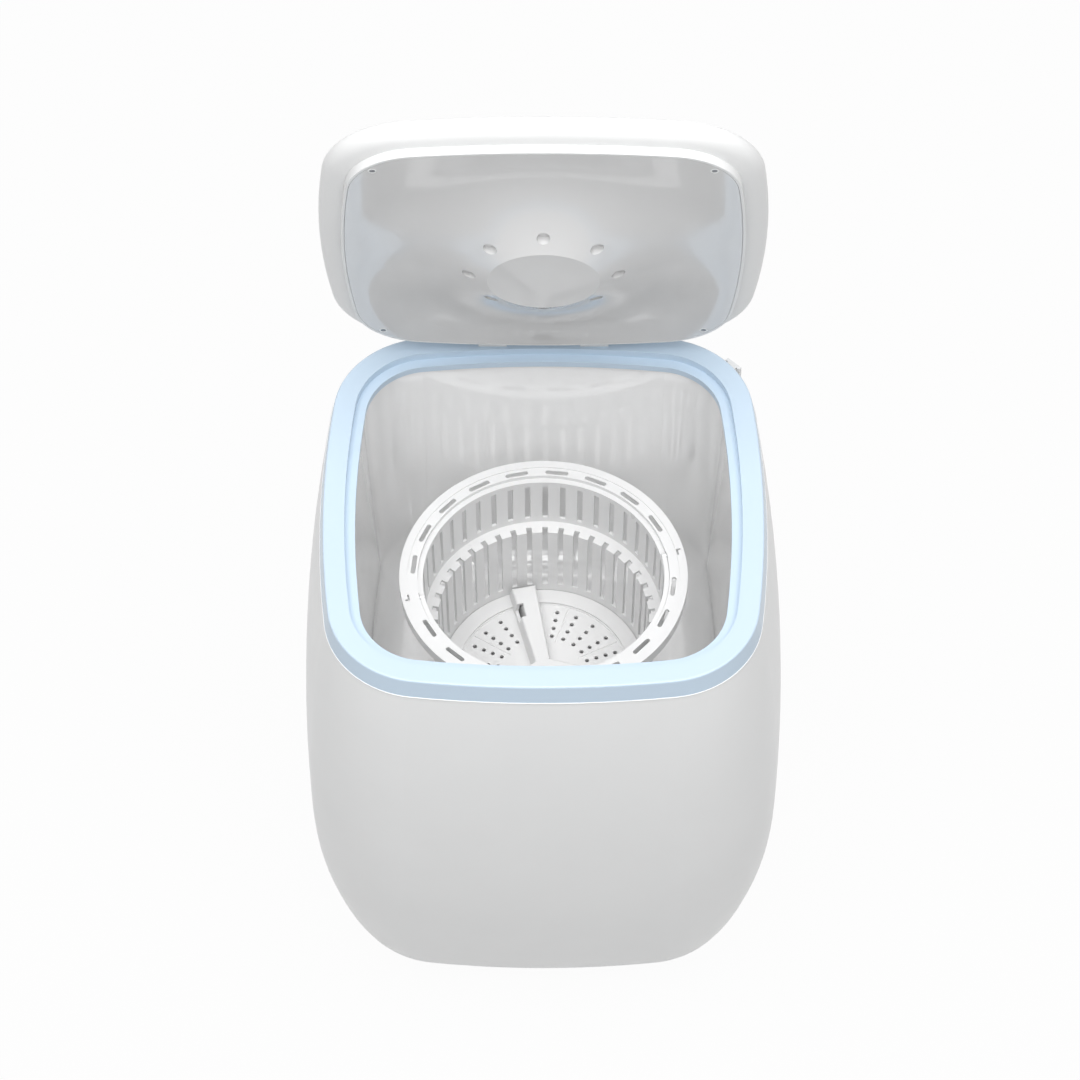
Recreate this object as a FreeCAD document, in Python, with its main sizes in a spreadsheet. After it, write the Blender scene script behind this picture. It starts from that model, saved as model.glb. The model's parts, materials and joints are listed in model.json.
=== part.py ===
import FreeCAD, Part
import math
import os
import re
from types import SimpleNamespace

import Sketcher
from FreeCAD import Placement, Rotation, Vector

# Compact top-loading washing machine: a barrel-shaped cabinet on a base tray, a coloured rim ring,
# one square wash tub with a drop-in spin basket on a pulsator, a belt drive and a hinged lid.
# Frame: millimetres, +Z up, the floor at z = 0, the drive axis on Z, the front towards -Y, the lid open.

# Driving dimensions, in millimetres unless the note says otherwise

SIZES = [
    ("rim_top", 455, "height of the rim ring's top face above the floor"),
    ("rim_half_width", 175, "rim ring outline, half of its width at the top"),
    ("rim_half_depth", 177.5, "rim ring outline, half of its depth at the top"),
    ("rim_corner", 77, "rim ring outline, corner radius"),
    ("side_bow", 875, "rim ring outline, radius of the bowed sides"),
    ("rim_band", 17.2, "height of the ring's outer band"),
    ("rim_flange", 17, "width of the ring's flat top"),
    ("rim_step", 7, "depth of the step that takes the lid"),
    ("rim_ledge", 8.3, "width of the ledge at the bottom of the step"),
    ("rim_lip", 6, "drop of the lip that hangs into the tub"),
    ("rim_edge", 1.6, "rounding of the ring's top edges"),
    ("wall", 2.8, "moulded wall of the cabinet, ring and tub"),
    ("fit_gap", 0.3, "gap between pieces that meet"),
    ("run_gap", 0.05, "radial clearance of a running fit"),
    ("screw_radius", 2, "screw shank"),
    ("screw_head_radius", 4, "screw head"),
    ("screw_head_height", 3, "screw head"),
    ("rim_boss_radius", 4.6, "screw boss under the ring"),
    ("rim_boss_inset", 8.6, "screw boss centre, in from the ring's outline"),
    ("belly_half_width", 197, "half of the cabinet's greatest width"),
    ("belly_height", 211, "height of the greatest width"),
    ("lower_bow", 553, "radius of the cabinet's profile below the belly"),
    ("base_corner", 46, "radius of the cabinet's bottom edge"),
    ("foot_height", 5, "gap under the base"),
    ("foot_radius", 12, "rubber foot"),
    ("foot_plug_radius", 4, "plug that holds a foot in the base tray"),
    ("foot_inset", 28.5, "foot centre, in from the edge of the base's flat"),
    ("seam_height", 40, "joint of the base tray and the cabinet"),
    ("shelf_reach", 16, "reach of the shelf inside the cabinet's top edge"),
    ("tray_screw_seat", 7, "tray screw's seat below the seam"),
    ("tray_screw_inset", 26, "tray screw centre, in from the seam's outline"),
    ("tray_boss_radius", 6.5, "tray screw boss"),
    ("tray_boss_height", 26, "tray screw boss above the seam"),
    ("grip_length", 80, "hand grip opening, front to back"),
    ("grip_height", 28, "hand grip opening"),
    ("grip_corner", 10, "hand grip opening, corner radius"),
    ("grip_behind", 88, "hand grip centre behind the drive axis"),
    ("grip_below", 76, "hand grip centre below the ring's top"),
    ("grip_clearance", 2.6, "room between a hand grip cup's bottom and the tub's mouth"),
    ("tub_floor", 205, "height of the tub's floor"),
    ("tub_draft", 9, "how far the tub's walls lean in towards the floor"),
    ("tub_knee", 35, "rounding between the tub's walls and floor"),
    ("gasket_height", 1.5, "seal between the ring and the tub"),
    ("basket_floor", 224, "height of the spin basket's floor"),
    ("basket_rise", 137, "basket ring's top above the basket's floor"),
    ("basket_mouth", 98, "basket's inner radius at the top"),
    ("basket_waist", 86.6, "basket's inner radius below its ledge"),
    ("basket_foot", 85.2, "basket's inner radius at the floor"),
    ("basket_ledge", 82, "height of the ledge above the basket's floor"),
    ("basket_lean", 1, "how far the basket's upper wall leans in"),
    ("ledge_fall", 2, "fall of the ledge towards the basket's middle"),
    ("basket_toe", 6, "inward toe that carries the basket's floor"),
    ("basket_wall_thick", 2.2, "basket wall"),
    ("basket_plate", 2.5, "basket floor and ring plates"),
    ("basket_ring_radius", 117, "basket ring's outer radius"),
    ("basket_lip_width", 6.6, "raised lip round the basket ring"),
    ("basket_lip_rise", 1, "raised lip above the basket ring"),
    ("basket_collar", 6, "drop of the ring's collar round the basket wall"),
    ("basket_skirt", 9, "drop of the basket ring's outer skirt"),
    ("basket_slots", 42, "slots round each tier of the basket, a count"),
    ("upper_slot_foot", 5, "upper slots start above the ledge"),
    ("upper_slot_head", 3, "upper slots stop below the handle's seat"),
    ("lower_slot_foot", 10, "lower slots start above the basket's floor"),
    ("lower_slot_head", 2, "lower slots run on above the ledge"),
    ("basket_slot_width", 4.6, "basket wall slot"),
    ("basket_yaw", 12, "turn of the basket about the drive axis, in degrees"),
    ("ring_slot_length", 19, "slot in the basket ring"),
    ("ring_slot_width", 3.8, "slot in the basket ring"),
    ("ring_slot_pitch", 18, "angle between slots in the basket ring, in degrees"),
    ("clip_slot_width", 1.5, "small slots in the basket ring beside each handle pin"),
    ("clip_slot_length", 6, "small slots in the basket ring beside each handle pin"),
    ("ring_web", 1.2, "upright web between the handle's seat and the ring"),
    ("handle_width", 3.7, "bail handle section, radial"),
    ("handle_thick", 2.6, "bail handle section, height"),
    ("handle_sunk", 2, "bail handle's axis below the basket ring's top"),
    ("handle_eye_radius", 2.3, "eye at each end of the bail handle"),
    ("handle_pin_radius", 1.1, "pin of the bail handle"),
    ("handle_pin_depth", 6, "how deep the pin sits in the basket ring"),
    ("vanes", 3, "vanes of the pulsator, a count"),
    ("ridge_height", 15, "basket floor ridge over each vane"),
    ("ridge_inner_width", 16, "ridge width near the hub"),
    ("ridge_outer_width", 25, "ridge width at the wall"),
    ("ridge_overrun", 8, "how far a ridge runs past the axis"),
    ("ridge_wall", 2.4, "ridge shell"),
    ("ridge_edge", 2, "rounding of the ridge's top edges"),
    ("floor_rim", 2, "raised rim round the basket's floor"),
    ("notch_start", 49.8, "pocket in a ridge's side, its inner end from the axis"),
    ("notch_length", 14, "pocket in a ridge's side"),
    ("hole_rows", 6, "rows of drain holes between two ridges, a count"),
    ("holes_in_row", 4, "drain holes in a row, a count"),
    ("row_margin", 22.5, "angle from a ridge to its nearest row of holes, in degrees"),
    ("floor_groove", 0.9, "half width and depth of the grooves in the basket floor"),
    ("groove_start", 33, "inner end of a groove from the axis"),
    ("groove_rows", 3, "rows of drain holes between two grooves, a count"),
    ("floor_hole_radius", 1.8, "drain hole in the basket floor"),
    ("floor_hole_start", 38.7, "first drain hole from the axis"),
    ("floor_hole_step", 8.3, "drain hole spacing along a row"),
    ("pulsator_radius", 78, "pulsator disc"),
    ("pulsator_thick", 3.5, "pulsator disc"),
    ("pulsator_gap", 4.5, "gap under the pulsator disc"),
    ("pulsator_hub_radius", 16, "pulsator hub"),
    ("hub_recess", 3.7, "pulsator screw's seat below the hub's top"),
    ("hub_web", 2.5, "hub plate under the pulsator screw"),
    ("pulsator_head_radius", 6, "pulsator screw's head"),
    ("vane_start", 15.4, "vane's inner end from the axis"),
    ("vane_gap", 2, "room between a vane and the ridge over it"),
    ("shaft_radius", 6, "drive shaft"),
    ("shaft_overrun", 2, "drive shaft beyond its pulley nut"),
    ("shaft_room", 2, "room round the shaft between its bushes"),
    ("bush_radius", 11, "drive shaft bush, outside"),
    ("bush_height", 12, "drive shaft bush"),
    ("neck_rise", 3, "bearing housing's neck above the tub floor"),
    ("seal_depth", 2, "shaft seal below the neck's top"),
    ("seal_radius", 15, "shaft seal, outside"),
    ("seal_height", 8, "shaft seal"),
    ("barrel_radius", 20, "bearing housing barrel"),
    ("housing_neck_radius", 21.7, "bearing housing neck in the tub floor"),
    ("housing_flange_radius", 45, "bearing housing flange"),
    ("housing_flange", 5, "bearing housing flange thickness"),
    ("housing_bolt_circle", 35, "bearing housing screws from the axis"),
    ("motor_clearance", 12.2, "room between the motor and the tub's underside"),
    ("deck_thick", 3, "motor bracket plate"),
    ("deck_half_width", 92, "motor bracket plate"),
    ("deck_front", 162, "motor bracket's front edge from the drive axis"),
    ("deck_back", 62, "motor bracket's rear edge from the drive axis"),
    ("post_radius", 7, "bracket post"),
    ("post_half_span", 80, "bracket posts, half of their spacing"),
    ("post_front", 98, "front bracket posts from the drive axis"),
    ("post_back", 50, "rear bracket posts from the drive axis"),
    ("post_boss", 12, "boss under the tub floor that takes a post"),
    ("motor_offset", 95, "motor axis in front of the drive axis"),
    ("motor_radius", 48, "motor can"),
    ("motor_height", 58, "motor can"),
    ("motor_sheet", 2, "motor can wall"),
    ("motor_foot_radius", 62, "motor foot plate"),
    ("motor_bolt_circle", 55, "motor bolts from the motor axis"),
    ("motor_shaft_radius", 5, "motor shaft"),
    ("rotor_radius", 30, "motor rotor"),
    ("stator_gap", 0.5, "air gap round the rotor"),
    ("grommet_radius", 6, "rubber grommet under the motor"),
    ("grommet_height", 4, "rubber grommet under the motor"),
    ("driven_pitch", 57, "driven pulley, belt line radius"),
    ("motor_pitch", 13, "motor pulley, belt line radius"),
    ("belt_thick", 5, "drive belt"),
    ("belt_width", 8, "drive belt"),
    ("pulley_width", 14, "both pulleys"),
    ("pulley_clearance", 5, "room between the pulleys and the motor bracket"),
    ("nut_radius", 9.6, "pulley nut, from its middle to its corners"),
    ("capacitor_radius", 17, "motor run capacitor"),
    ("capacitor_height", 60, "motor run capacitor"),
    ("capacitor_x", 78, "capacitor, left of the drive axis"),
    ("capacitor_ahead", 41.6, "capacitor's centre ahead of the rear left foot's"),
    ("drain_behind", 92, "drain hole behind the drive axis"),
    ("drain_radius", 10, "drain pipe, outside"),
    ("drain_bore", 8, "drain pipe, inside"),
    ("valve_radius", 18, "drain valve body"),
    ("valve_height", 46, "drain valve body"),
    ("coil_radius", 14.4, "drain valve's coil"),
    ("pipe_bend", 16, "drain pipe's bend radius"),
    ("pipe_lead", 3.2, "straight lead before the drain pipe's bend"),
    ("spigot_height", 60, "drain outlet above the floor"),
    ("spigot_reach", 15, "drain outlet beyond its hose stop collar"),
    ("spigot_collar", 6, "hose stop collar beyond the rear wall"),
    ("gland_radius", 8, "mains gland in the rear wall"),
    ("gland_bore", 4, "mains gland, cable hole"),
    ("gland_left", 80, "mains gland, left of the middle plane"),
    ("gland_height", 150, "mains gland above the floor"),
    ("board_width", 120, "touch board behind the front wall"),
    ("board_tall", 36, "touch board"),
    ("board_thick", 1.6, "touch board"),
    ("board_below", 78, "touch board centre below the ring's top"),
    ("lid_open", 77.3, "lid opening angle as it stands, in degrees"),
    ("hinge_rise", 8, "hinge axis above the ring's top"),
    ("hinge_inset", 8.8, "hinge axis, in from the ring's rear edge"),
    ("hinge_pin_radius", 2, "hinge pin"),
    ("hinge_ear_radius", 4.6, "round head of a hinge ear"),
    ("hinge_inner_ear", 30, "inner ear from the middle plane"),
    ("hinge_inner_thick", 2, "inner ear"),
    ("hinge_knuckle", 9.5, "room between the two ears"),
    ("hinge_outer_thick", 11.5, "outer ear"),
    ("hinge_plate", 2, "hinge bracket's foot plate"),
    ("lid_lip_inset", 17.6, "lid lip, in from the ring's outline"),
    ("lid_sheet", 2.4, "lid walls"),
    ("lid_thick", 28, "lid from its lip to the edge of its top"),
    ("lid_swell_inset", 2.8, "lid's greatest outline, in from the ring's"),
    ("lid_side_swell", 2.8, "how much further the lid swells at its left and right"),
    ("lid_swell_rise", 12.5, "lid's greatest outline above the ring's top"),
    ("lid_crown", 1.5, "rise of the lid's top at its middle"),
    ("boss_radius", 44, "flat boss in the middle of the lid's inside"),
    ("boss_drop", 24.8, "boss below the lid panel's rim"),
    ("flare_inset", 25, "where the panel's flare meets its flat rim, in from the ring's outline"),
    ("dimple_radius", 5.3, "round pocket in the panel's flare"),
    ("dimple_circle", 58.3, "pockets from the panel's middle"),
    ("dimple_depth", 5, "round pocket"),
    ("dimples", 8, "round pockets, a count"),
    ("lid_screw_radius", 1.4, "lid screw shank"),
    ("lid_screw_head", 2, "lid screw head radius"),
    ("lid_screw_inset", 4.6, "lid screw centre, in from the panel's edge"),
    ("cleat_width", 9, "hose cleat at the rear right corner"),
    ("cleat_reach", 7, "hose cleat's reach from the cabinet"),
    ("cleat_height", 18, "hose cleat"),
    ("cleat_head", 3, "hose cleat's wider head"),
]

# Heights and sizes that follow from the driving dimensions

DERIVED = {
    "corner_height": "foot_height + base_corner",
    "corner_span": "lower_bow - base_corner",
    "corner_drop": "belly_height - corner_height",
    "corner_centre": "belly_half_width - lower_bow + sqrt(corner_span ^ 2 - corner_drop ^ 2)",
    "foot_spread": "corner_centre - foot_inset",
    "capacitor_y": "foot_spread - capacitor_ahead",
    "rim_bottom": "rim_top - rim_band",
    "ledge_top": "rim_top - rim_step",
    "ledge_under": "ledge_top - wall",
    "mouth_inset": "rim_flange + rim_ledge",
    "lip_outer_inset": "mouth_inset - wall + fit_gap",
    "tub_inset": "lip_outer_inset - fit_gap",
    "tub_top": "ledge_under - gasket_height",
    "tub_under": "tub_floor - wall",
    "flange_under": "rim_bottom",
    "flange_top": "rim_bottom + wall",
    "shelf_under": "rim_bottom - wall",
    "tray_shoulder": "seam_height - tray_screw_seat",
    "basket_ring_top": "basket_floor + basket_rise",
    "handle_axis": "basket_ring_top - handle_sunk",
    "handle_seat": "handle_axis - handle_thick / 2 - fit_gap",
    "seat_under": "handle_seat - basket_plate",
    "ring_under": "basket_ring_top - basket_plate",
    "seat_radius": "basket_mouth + handle_width + 2 * fit_gap",
    "web_radius": "seat_radius + ring_web",
    "basket_under": "basket_floor - basket_plate",
    "hub_top": "basket_under - fit_gap",
    "pulsator_under": "tub_floor + pulsator_gap",
    "pulsator_top": "pulsator_under + pulsator_thick",
    "screw_seat": "hub_top - hub_recess",
    "shaft_top": "screw_seat - hub_web",
    "housing_under": "tub_under - housing_flange",
    "neck_top": "tub_floor + neck_rise",
    "seal_bottom": "neck_top - seal_height - seal_depth",
    "upper_bush": "seal_bottom - bush_height",
    "lower_bush_top": "barrel_bottom + bush_height",
    "motor_top": "tub_under - motor_clearance",
    "motor_bottom": "motor_top - motor_height",
    "deck_top": "motor_bottom - grommet_height",
    "deck_height": "deck_top - deck_thick",
    "barrel_bottom": "motor_bottom",
    "pulley_top": "deck_height - pulley_clearance",
    "pulley_bottom": "pulley_top - pulley_width",
    "nut_bottom": "pulley_bottom - shaft_radius",
    "shaft_bottom": "nut_bottom - shaft_overrun",
    "belt_bottom": "pulley_bottom + (pulley_width - belt_width) / 2",
    "belt_top": "belt_bottom + belt_width",
    "tray_floor": "foot_height + wall",
    "post_top": "tub_under - post_boss",
    "hinge_height": "rim_top + hinge_rise",
    "hinge_behind": "rim_half_depth - hinge_inset",
    "knuckle_start": "hinge_inner_ear + hinge_inner_thick",
    "knuckle_end": "knuckle_start + hinge_knuckle",
    "ear_end": "knuckle_end + hinge_outer_thick",
    "lid_rim": "ledge_top + fit_gap",
    "lid_edge_top": "lid_rim + lid_thick",
    "lid_ceiling": "lid_edge_top - lid_sheet",
    "panel_inset": "lid_lip_inset + lid_sheet + fit_gap",
    "panel_back": "lid_rim + lid_sheet",
    "flare_radius": "rim_half_width - flare_inset",
}

doc = FreeCAD.newDocument("washing_machine")
sheet = doc.addObject("Spreadsheet::Sheet", "Sizes")
for row, (name, number, note) in enumerate(SIZES, start=1):
    sheet.set(f"A{row}", note)
    sheet.set(f"B{row}", str(number))
    sheet.setAlias(f"B{row}", name)
doc.recompute()

SIZE_NAMES = {name for name, number, note in SIZES}
WORD = re.compile(r"[a-z][a-z_]+")
UP = Vector(0, 0, 1)
TOUCH = 0.01
nodes = {}


def bind(text):
    """The expression for a text that uses the names above."""
    def swap(match):
        word = match.group(0)
        if word in DERIVED:
            return "(" + bind(DERIVED[word]) + ")"
        return "Sizes." + word if word in SIZE_NAMES else word
    return WORD.sub(swap, str(text))


def value(text):
    """The number that a text stands for."""
    return float(sheet.evalExpression(bind(text)))


at = SimpleNamespace(**{name: value(name) for name in list(SIZE_NAMES) + list(DERIVED)})


# Document objects whose sizes are bound to the sheet

def place(thing, x="0", y="0", z="0"):
    """Bind where a document object stands."""
    for axis, text in zip("xyz", (x, y, z)):
        thing.setExpression("Placement.Base." + axis, bind(text))


def turn(thing, axis, angle):
    """Turn a document object about a line through its own origin."""
    thing.Placement = Placement(thing.Placement.Base, Rotation(axis, angle))


def profile(body, points):
    """A closed sketch of straight lines in the body's XZ plane, every corner bound to the sheet."""
    sketch = body.newObject("Sketcher::SketchObject", body.Name + "_profile")
    plane = next(part for part in body.Origin.OriginFeatures if part.Role == "XZ_Plane")
    sketch.AttachmentSupport = (plane, [""])
    sketch.MapMode = "FlatFace"
    spots = [Vector(value(across), value(up), 0) for across, up in points]
    count = len(spots)
    for index in range(count):
        sketch.addGeometry(Part.LineSegment(spots[index], spots[(index + 1) % count]))
    for index in range(count):
        sketch.addConstraint(Sketcher.Constraint("Coincident", index, 2, (index + 1) % count, 1))
    for index, (across, up) in enumerate(points):
        if across == "0":
            sketch.addConstraint(Sketcher.Constraint("PointOnObject", index, 1, -2))
        else:
            datum = Sketcher.Constraint("DistanceX", -1, 1, index, 1, spots[index].x)
            sketch.setExpression(f"Constraints[{sketch.addConstraint(datum)}]", bind(across))
        datum = Sketcher.Constraint("DistanceY", -1, 1, index, 1, spots[index].y)
        sketch.setExpression(f"Constraints[{sketch.addConstraint(datum)}]", bind(up))
    return sketch


def turned(label, points, x="0", y="0"):
    """A piece turned about a vertical axis from a profile of (radius, height) corners."""
    body = doc.addObject("PartDesign::Body", label)
    sketch = profile(body, points)
    revolution = body.newObject("PartDesign::Revolution", label + "_turn")
    revolution.Profile = sketch
    revolution.ReferenceAxis = (sketch, ["V_Axis"])
    revolution.Angle = 360
    place(body, x, y)
    return body


def tube(label, inner, outer, low, high, x="0", y="0"):
    """A turned sleeve."""
    return turned(label, [(inner, low), (outer, low), (outer, high), (inner, high)], x, y)


def box(label, x, y, z):
    """A block from (low, high) pairs along each axis."""
    block = doc.addObject("Part::Box", label)
    for side, (low, high) in zip(("Length", "Width", "Height"), (x, y, z)):
        block.setExpression(side, bind(f"({high}) - ({low})"))
    place(block, x[0], y[0], z[0])
    return block


def rod(label, radius, low, high, x="0", y="0"):
    """An upright cylinder."""
    cylinder = doc.addObject("Part::Cylinder", label)
    cylinder.setExpression("Radius", bind(radius))
    cylinder.setExpression("Height", bind(f"({high}) - ({low})"))
    place(cylinder, x, y, low)
    return cylinder


def cross_rod(label, radius, low, high, y, z):
    """A cylinder along X."""
    cylinder = doc.addObject("Part::Cylinder", label)
    cylinder.setExpression("Radius", bind(radius))
    cylinder.setExpression("Height", bind(f"({high}) - ({low})"))
    turn(cylinder, Vector(0, 1, 0), 90)
    place(cylinder, low, y, z)
    return cylinder


def rear_rod(label, radius, low, high, x, z):
    """A cylinder along Y."""
    cylinder = doc.addObject("Part::Cylinder", label)
    cylinder.setExpression("Radius", bind(radius))
    cylinder.setExpression("Height", bind(f"({high}) - ({low})"))
    turn(cylinder, Vector(1, 0, 0), -90)
    place(cylinder, x, low, z)
    return cylinder


def made(label, shape):
    """A shape built by the functions below, as a document object."""
    feature = doc.addObject("Part::Feature", label)
    feature.Shape = shape
    return feature


def joined(label, pieces):
    """Pieces fused into one solid."""
    fusion = doc.addObject("Part::MultiFuse", label)
    fusion.Shapes = pieces
    fusion.Refine = True
    return fusion


def cut(label, base, tools):
    """A piece with the tools taken out of it."""
    tool = tools[0]
    if len(tools) > 1:
        tool = doc.addObject("Part::Compound", label + "_tools")
        tool.Links = tools
    difference = doc.addObject("Part::Cut", label)
    difference.Base = base
    difference.Tool = tool
    difference.Refine = True
    return difference


def keep(label, piece):
    """Name a finished sub-part."""
    piece.Label = label
    nodes[label] = piece
    return piece


# Shapes that follow the bowed outline

def corner_of(half_width, half_depth, corner, bow):
    """Centre of the rear right corner's arc, and the directions of its two ends."""
    side = half_width - bow
    rear = half_depth - bow
    reach = bow - corner
    slope = side / rear
    offset = (rear ** 2 - side ** 2) / (2 * rear)
    square = 1 + slope ** 2
    linear = 2 * (offset * slope - side)
    constant = side ** 2 + offset ** 2 - reach ** 2
    x = (-linear + math.sqrt(linear ** 2 - 4 * square * constant)) / (2 * square)
    y = offset + slope * x
    from_side = Vector(x - side, y, 0).normalize()
    from_rear = Vector(x, y - rear, 0).normalize()
    return Vector(x, y, 0), from_side, from_rear


def outline(half_width, half_depth, corner, bow, z):
    """A level closed wire of four bowed sides and four round corners."""
    centre, from_side, from_rear = corner_of(half_width, half_depth, corner, bow)
    first = centre + from_side * corner
    middle = centre + (from_side + from_rear).normalize() * corner
    last = centre + from_rear * corner

    def spot(point, across, along):
        return Vector(point.x * across, point.y * along, z)

    def arc(start, through, end):
        return Part.Arc(start, through, end).toShape()

    edges = [
        arc(spot(first, 1, -1), Vector(half_width, 0, z), spot(first, 1, 1)),
        arc(spot(first, 1, 1), spot(middle, 1, 1), spot(last, 1, 1)),
        arc(spot(last, 1, 1), Vector(0, half_depth, z), spot(last, -1, 1)),
        arc(spot(last, -1, 1), spot(middle, -1, 1), spot(first, -1, 1)),
        arc(spot(first, -1, 1), Vector(-half_width, 0, z), spot(first, -1, -1)),
        arc(spot(first, -1, -1), spot(middle, -1, -1), spot(last, -1, -1)),
        arc(spot(last, -1, -1), Vector(0, -half_depth, z), spot(last, 1, -1)),
        arc(spot(last, 1, -1), spot(middle, 1, -1), spot(first, 1, -1)),
    ]
    return Part.Wire(edges)


def rim_sides(inset):
    """The rim outline's four sizes, moved in by an inset; a corner stays round at a deep inset."""
    corner = max(at.rim_corner - inset, at.rim_corner / 10)
    return [at.rim_half_width - inset, at.rim_half_depth - inset, corner, at.side_bow - inset]


def scaled_sides(half_width):
    """The rim outline's four sizes, scaled to another half width."""
    share = half_width / at.rim_half_width
    return [share * side for side in (at.rim_half_width, at.rim_half_depth, at.rim_corner, at.side_bow)]


def rim_wire(inset, z):
    return outline(*rim_sides(inset), z)


def scaled_wire(half_width, z):
    return outline(*scaled_sides(half_width), z)


def prism(inset, low, high):
    """A straight block with the rim's outline, moved in by an inset."""
    return Part.Face(rim_wire(inset, low)).extrude(UP * (high - low))


def hoop(outer_inset, inner_inset, low, high):
    """A straight band between two insets."""
    return prism(outer_inset, low, high).cut(prism(inner_inset, low, high))


def rounded(shape, radius, level):
    """A shape with the edges that lie at one level rounded."""
    def lies_there(edge):
        return max(abs(edge.BoundBox.ZMin - level), abs(edge.BoundBox.ZMax - level)) < TOUCH
    return shape.makeFillet(radius, [edge for edge in shape.Edges if lies_there(edge)])


def loft(wires, ruled=False):
    return Part.makeLoft(wires, True, ruled)


def corner_spot(sides, inset):
    """A point in from the middle of the rear right corner."""
    centre, from_side, from_rear = corner_of(*sides)
    return centre + (from_side + from_rear).normalize() * (sides[2] - inset)


def four_corners(spot):
    return [Vector(spot.x * across, spot.y * along, 0) for across in (1, -1) for along in (1, -1)]


def upright(radius, low, high, spot):
    """A plain upright cylinder shape at a spot."""
    return Part.makeCylinder(radius, high - low, Vector(spot.x, spot.y, low))


def washer(spot, outer, inner, low, high):
    return upright(outer, low, high, spot).cut(upright(inner, low, high, spot))


# The cabinet's profile: an upper bow, a lower bow and a round bottom edge, all tangent

UPPER_RISE = at.rim_top - at.belly_height
UPPER_SWELL = at.belly_half_width - at.rim_half_width
UPPER_BOW = (UPPER_RISE ** 2 + UPPER_SWELL ** 2) / (2 * UPPER_SWELL)
LOWER_CENTRE = at.belly_half_width - at.lower_bow
CORNER_START = at.belly_height - at.corner_drop * at.lower_bow / at.corner_span


def half_width(z, inset=0):
    """Half of the cabinet's width at a height, on the outside or an inset inside it."""
    if z >= at.belly_height:
        centre, radius, level = at.belly_half_width - UPPER_BOW, UPPER_BOW, at.belly_height
    elif z >= CORNER_START:
        centre, radius, level = LOWER_CENTRE, at.lower_bow, at.belly_height
    else:
        centre, radius, level = at.corner_centre, at.base_corner, at.corner_height
    return centre + math.sqrt((radius - inset) ** 2 - min(abs(z - level), radius - inset) ** 2)


CABINET_SECTIONS = 10


def cabinet_block(low, high, inset=0):
    """A solid with the cabinet's form between two heights; sections crowd towards a round bottom."""
    wires = []
    for index in range(CABINET_SECTIONS):
        share = index / (CABINET_SECTIONS - 1)
        if low < CORNER_START / 2:
            share = 1 - math.cos(share * math.pi / 2)
        z = low + (high - low) * share
        wires.append(scaled_wire(half_width(z, inset), z))
    return loft(wires)


# Cabinet

SHANK_HOLE = at.screw_radius + at.fit_gap
CABINET = cabinet_block(at.seam_height, at.rim_bottom)
SEAM_SIDES = scaled_sides(half_width(at.seam_height))
TRAY_SCREWS = four_corners(corner_spot(SEAM_SIDES, at.tray_screw_inset))
RIM_SCREWS = four_corners(corner_spot(rim_sides(0), at.rim_boss_inset)) + [
    Vector(at.rim_half_width - at.rim_boss_inset, 0, 0),
    Vector(at.rim_boss_inset - at.rim_half_width, 0, 0),
    Vector(0, at.rim_half_depth - at.rim_boss_inset, 0),
    Vector(0, at.rim_boss_inset - at.rim_half_depth, 0),
]


GRIP_BOTTOM = at.rim_half_width - at.tub_inset + at.wall + at.grip_clearance


def grip_block(side, gap, bottom):
    """A rounded block along X through a hand grip's opening; side is 1 for the right."""
    length = at.grip_length - 2 * gap
    height = at.grip_height - 2 * gap
    corner = at.grip_corner - gap
    block = Part.makeBox(at.belly_half_width, length, height)
    block = block.makeFillet(corner, [edge for edge in block.Edges
                                      if abs(edge.tangentAt(edge.FirstParameter).x) > 0.99])
    start = bottom if side > 0 else -bottom - at.belly_half_width
    block.translate(Vector(start, at.grip_behind - length / 2, at.rim_top - at.grip_below - height / 2))
    return block


def tray_boss(spot):
    """A screw boss inside the cabinet's bottom edge, with the rib that ties it to the wall."""
    boss_top = at.seam_height + at.tray_boss_height
    boss = upright(at.tray_boss_radius, at.seam_height, boss_top, spot)
    rib_length = at.tray_screw_inset * 2
    rib = Part.makeBox(rib_length, at.wall, at.tray_boss_height, Vector(0, -at.wall / 2, 0))
    rib.rotate(Vector(), UP, math.degrees(math.atan2(spot.y, spot.x)))
    rib.translate(Vector(spot.x, spot.y, at.seam_height))
    return boss.fuse(rib)


def body_shell():
    hollow = cabinet_block(at.seam_height, at.shelf_under, at.wall)
    shelf_mouth = Part.Face(rim_wire(at.shelf_reach, at.shelf_under)).extrude(UP * at.wall)
    shell = CABINET.cut(hollow).cut(shelf_mouth)
    bosses = tray_boss(TRAY_SCREWS[0])
    for spot in TRAY_SCREWS[1:]:
        bosses = bosses.fuse(tray_boss(spot))
    shell = shell.fuse(bosses.common(CABINET))
    pilot_top = at.seam_height + at.tray_boss_height - at.wall
    tools = [upright(at.screw_radius, at.seam_height, pilot_top, spot) for spot in TRAY_SCREWS]
    tools += [upright(SHANK_HOLE, at.shelf_under, at.rim_bottom, spot) for spot in RIM_SCREWS]
    tools += [grip_block(side, 0, GRIP_BOTTOM) for side in (1, -1)]
    rear = Vector(0, 1, 0)
    reach = scaled_sides(at.belly_half_width)[1] + at.wall
    tools.append(Part.makeCylinder(at.drain_radius + at.fit_gap, reach,
                                   Vector(0, 0, at.spigot_height), rear))
    tools.append(Part.makeCylinder(at.gland_radius + at.fit_gap, reach,
                                   Vector(-at.gland_left, 0, at.gland_height), rear))
    return shell.cut(tools)


def grip_cup(side):
    """The moulded cup in a side wall's hand grip opening, its mouth flush with the cabinet."""
    cup = grip_block(side, at.fit_gap, GRIP_BOTTOM).common(CABINET)
    return cup.cut(grip_block(side, at.fit_gap + at.wall, GRIP_BOTTOM + at.wall))


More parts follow.
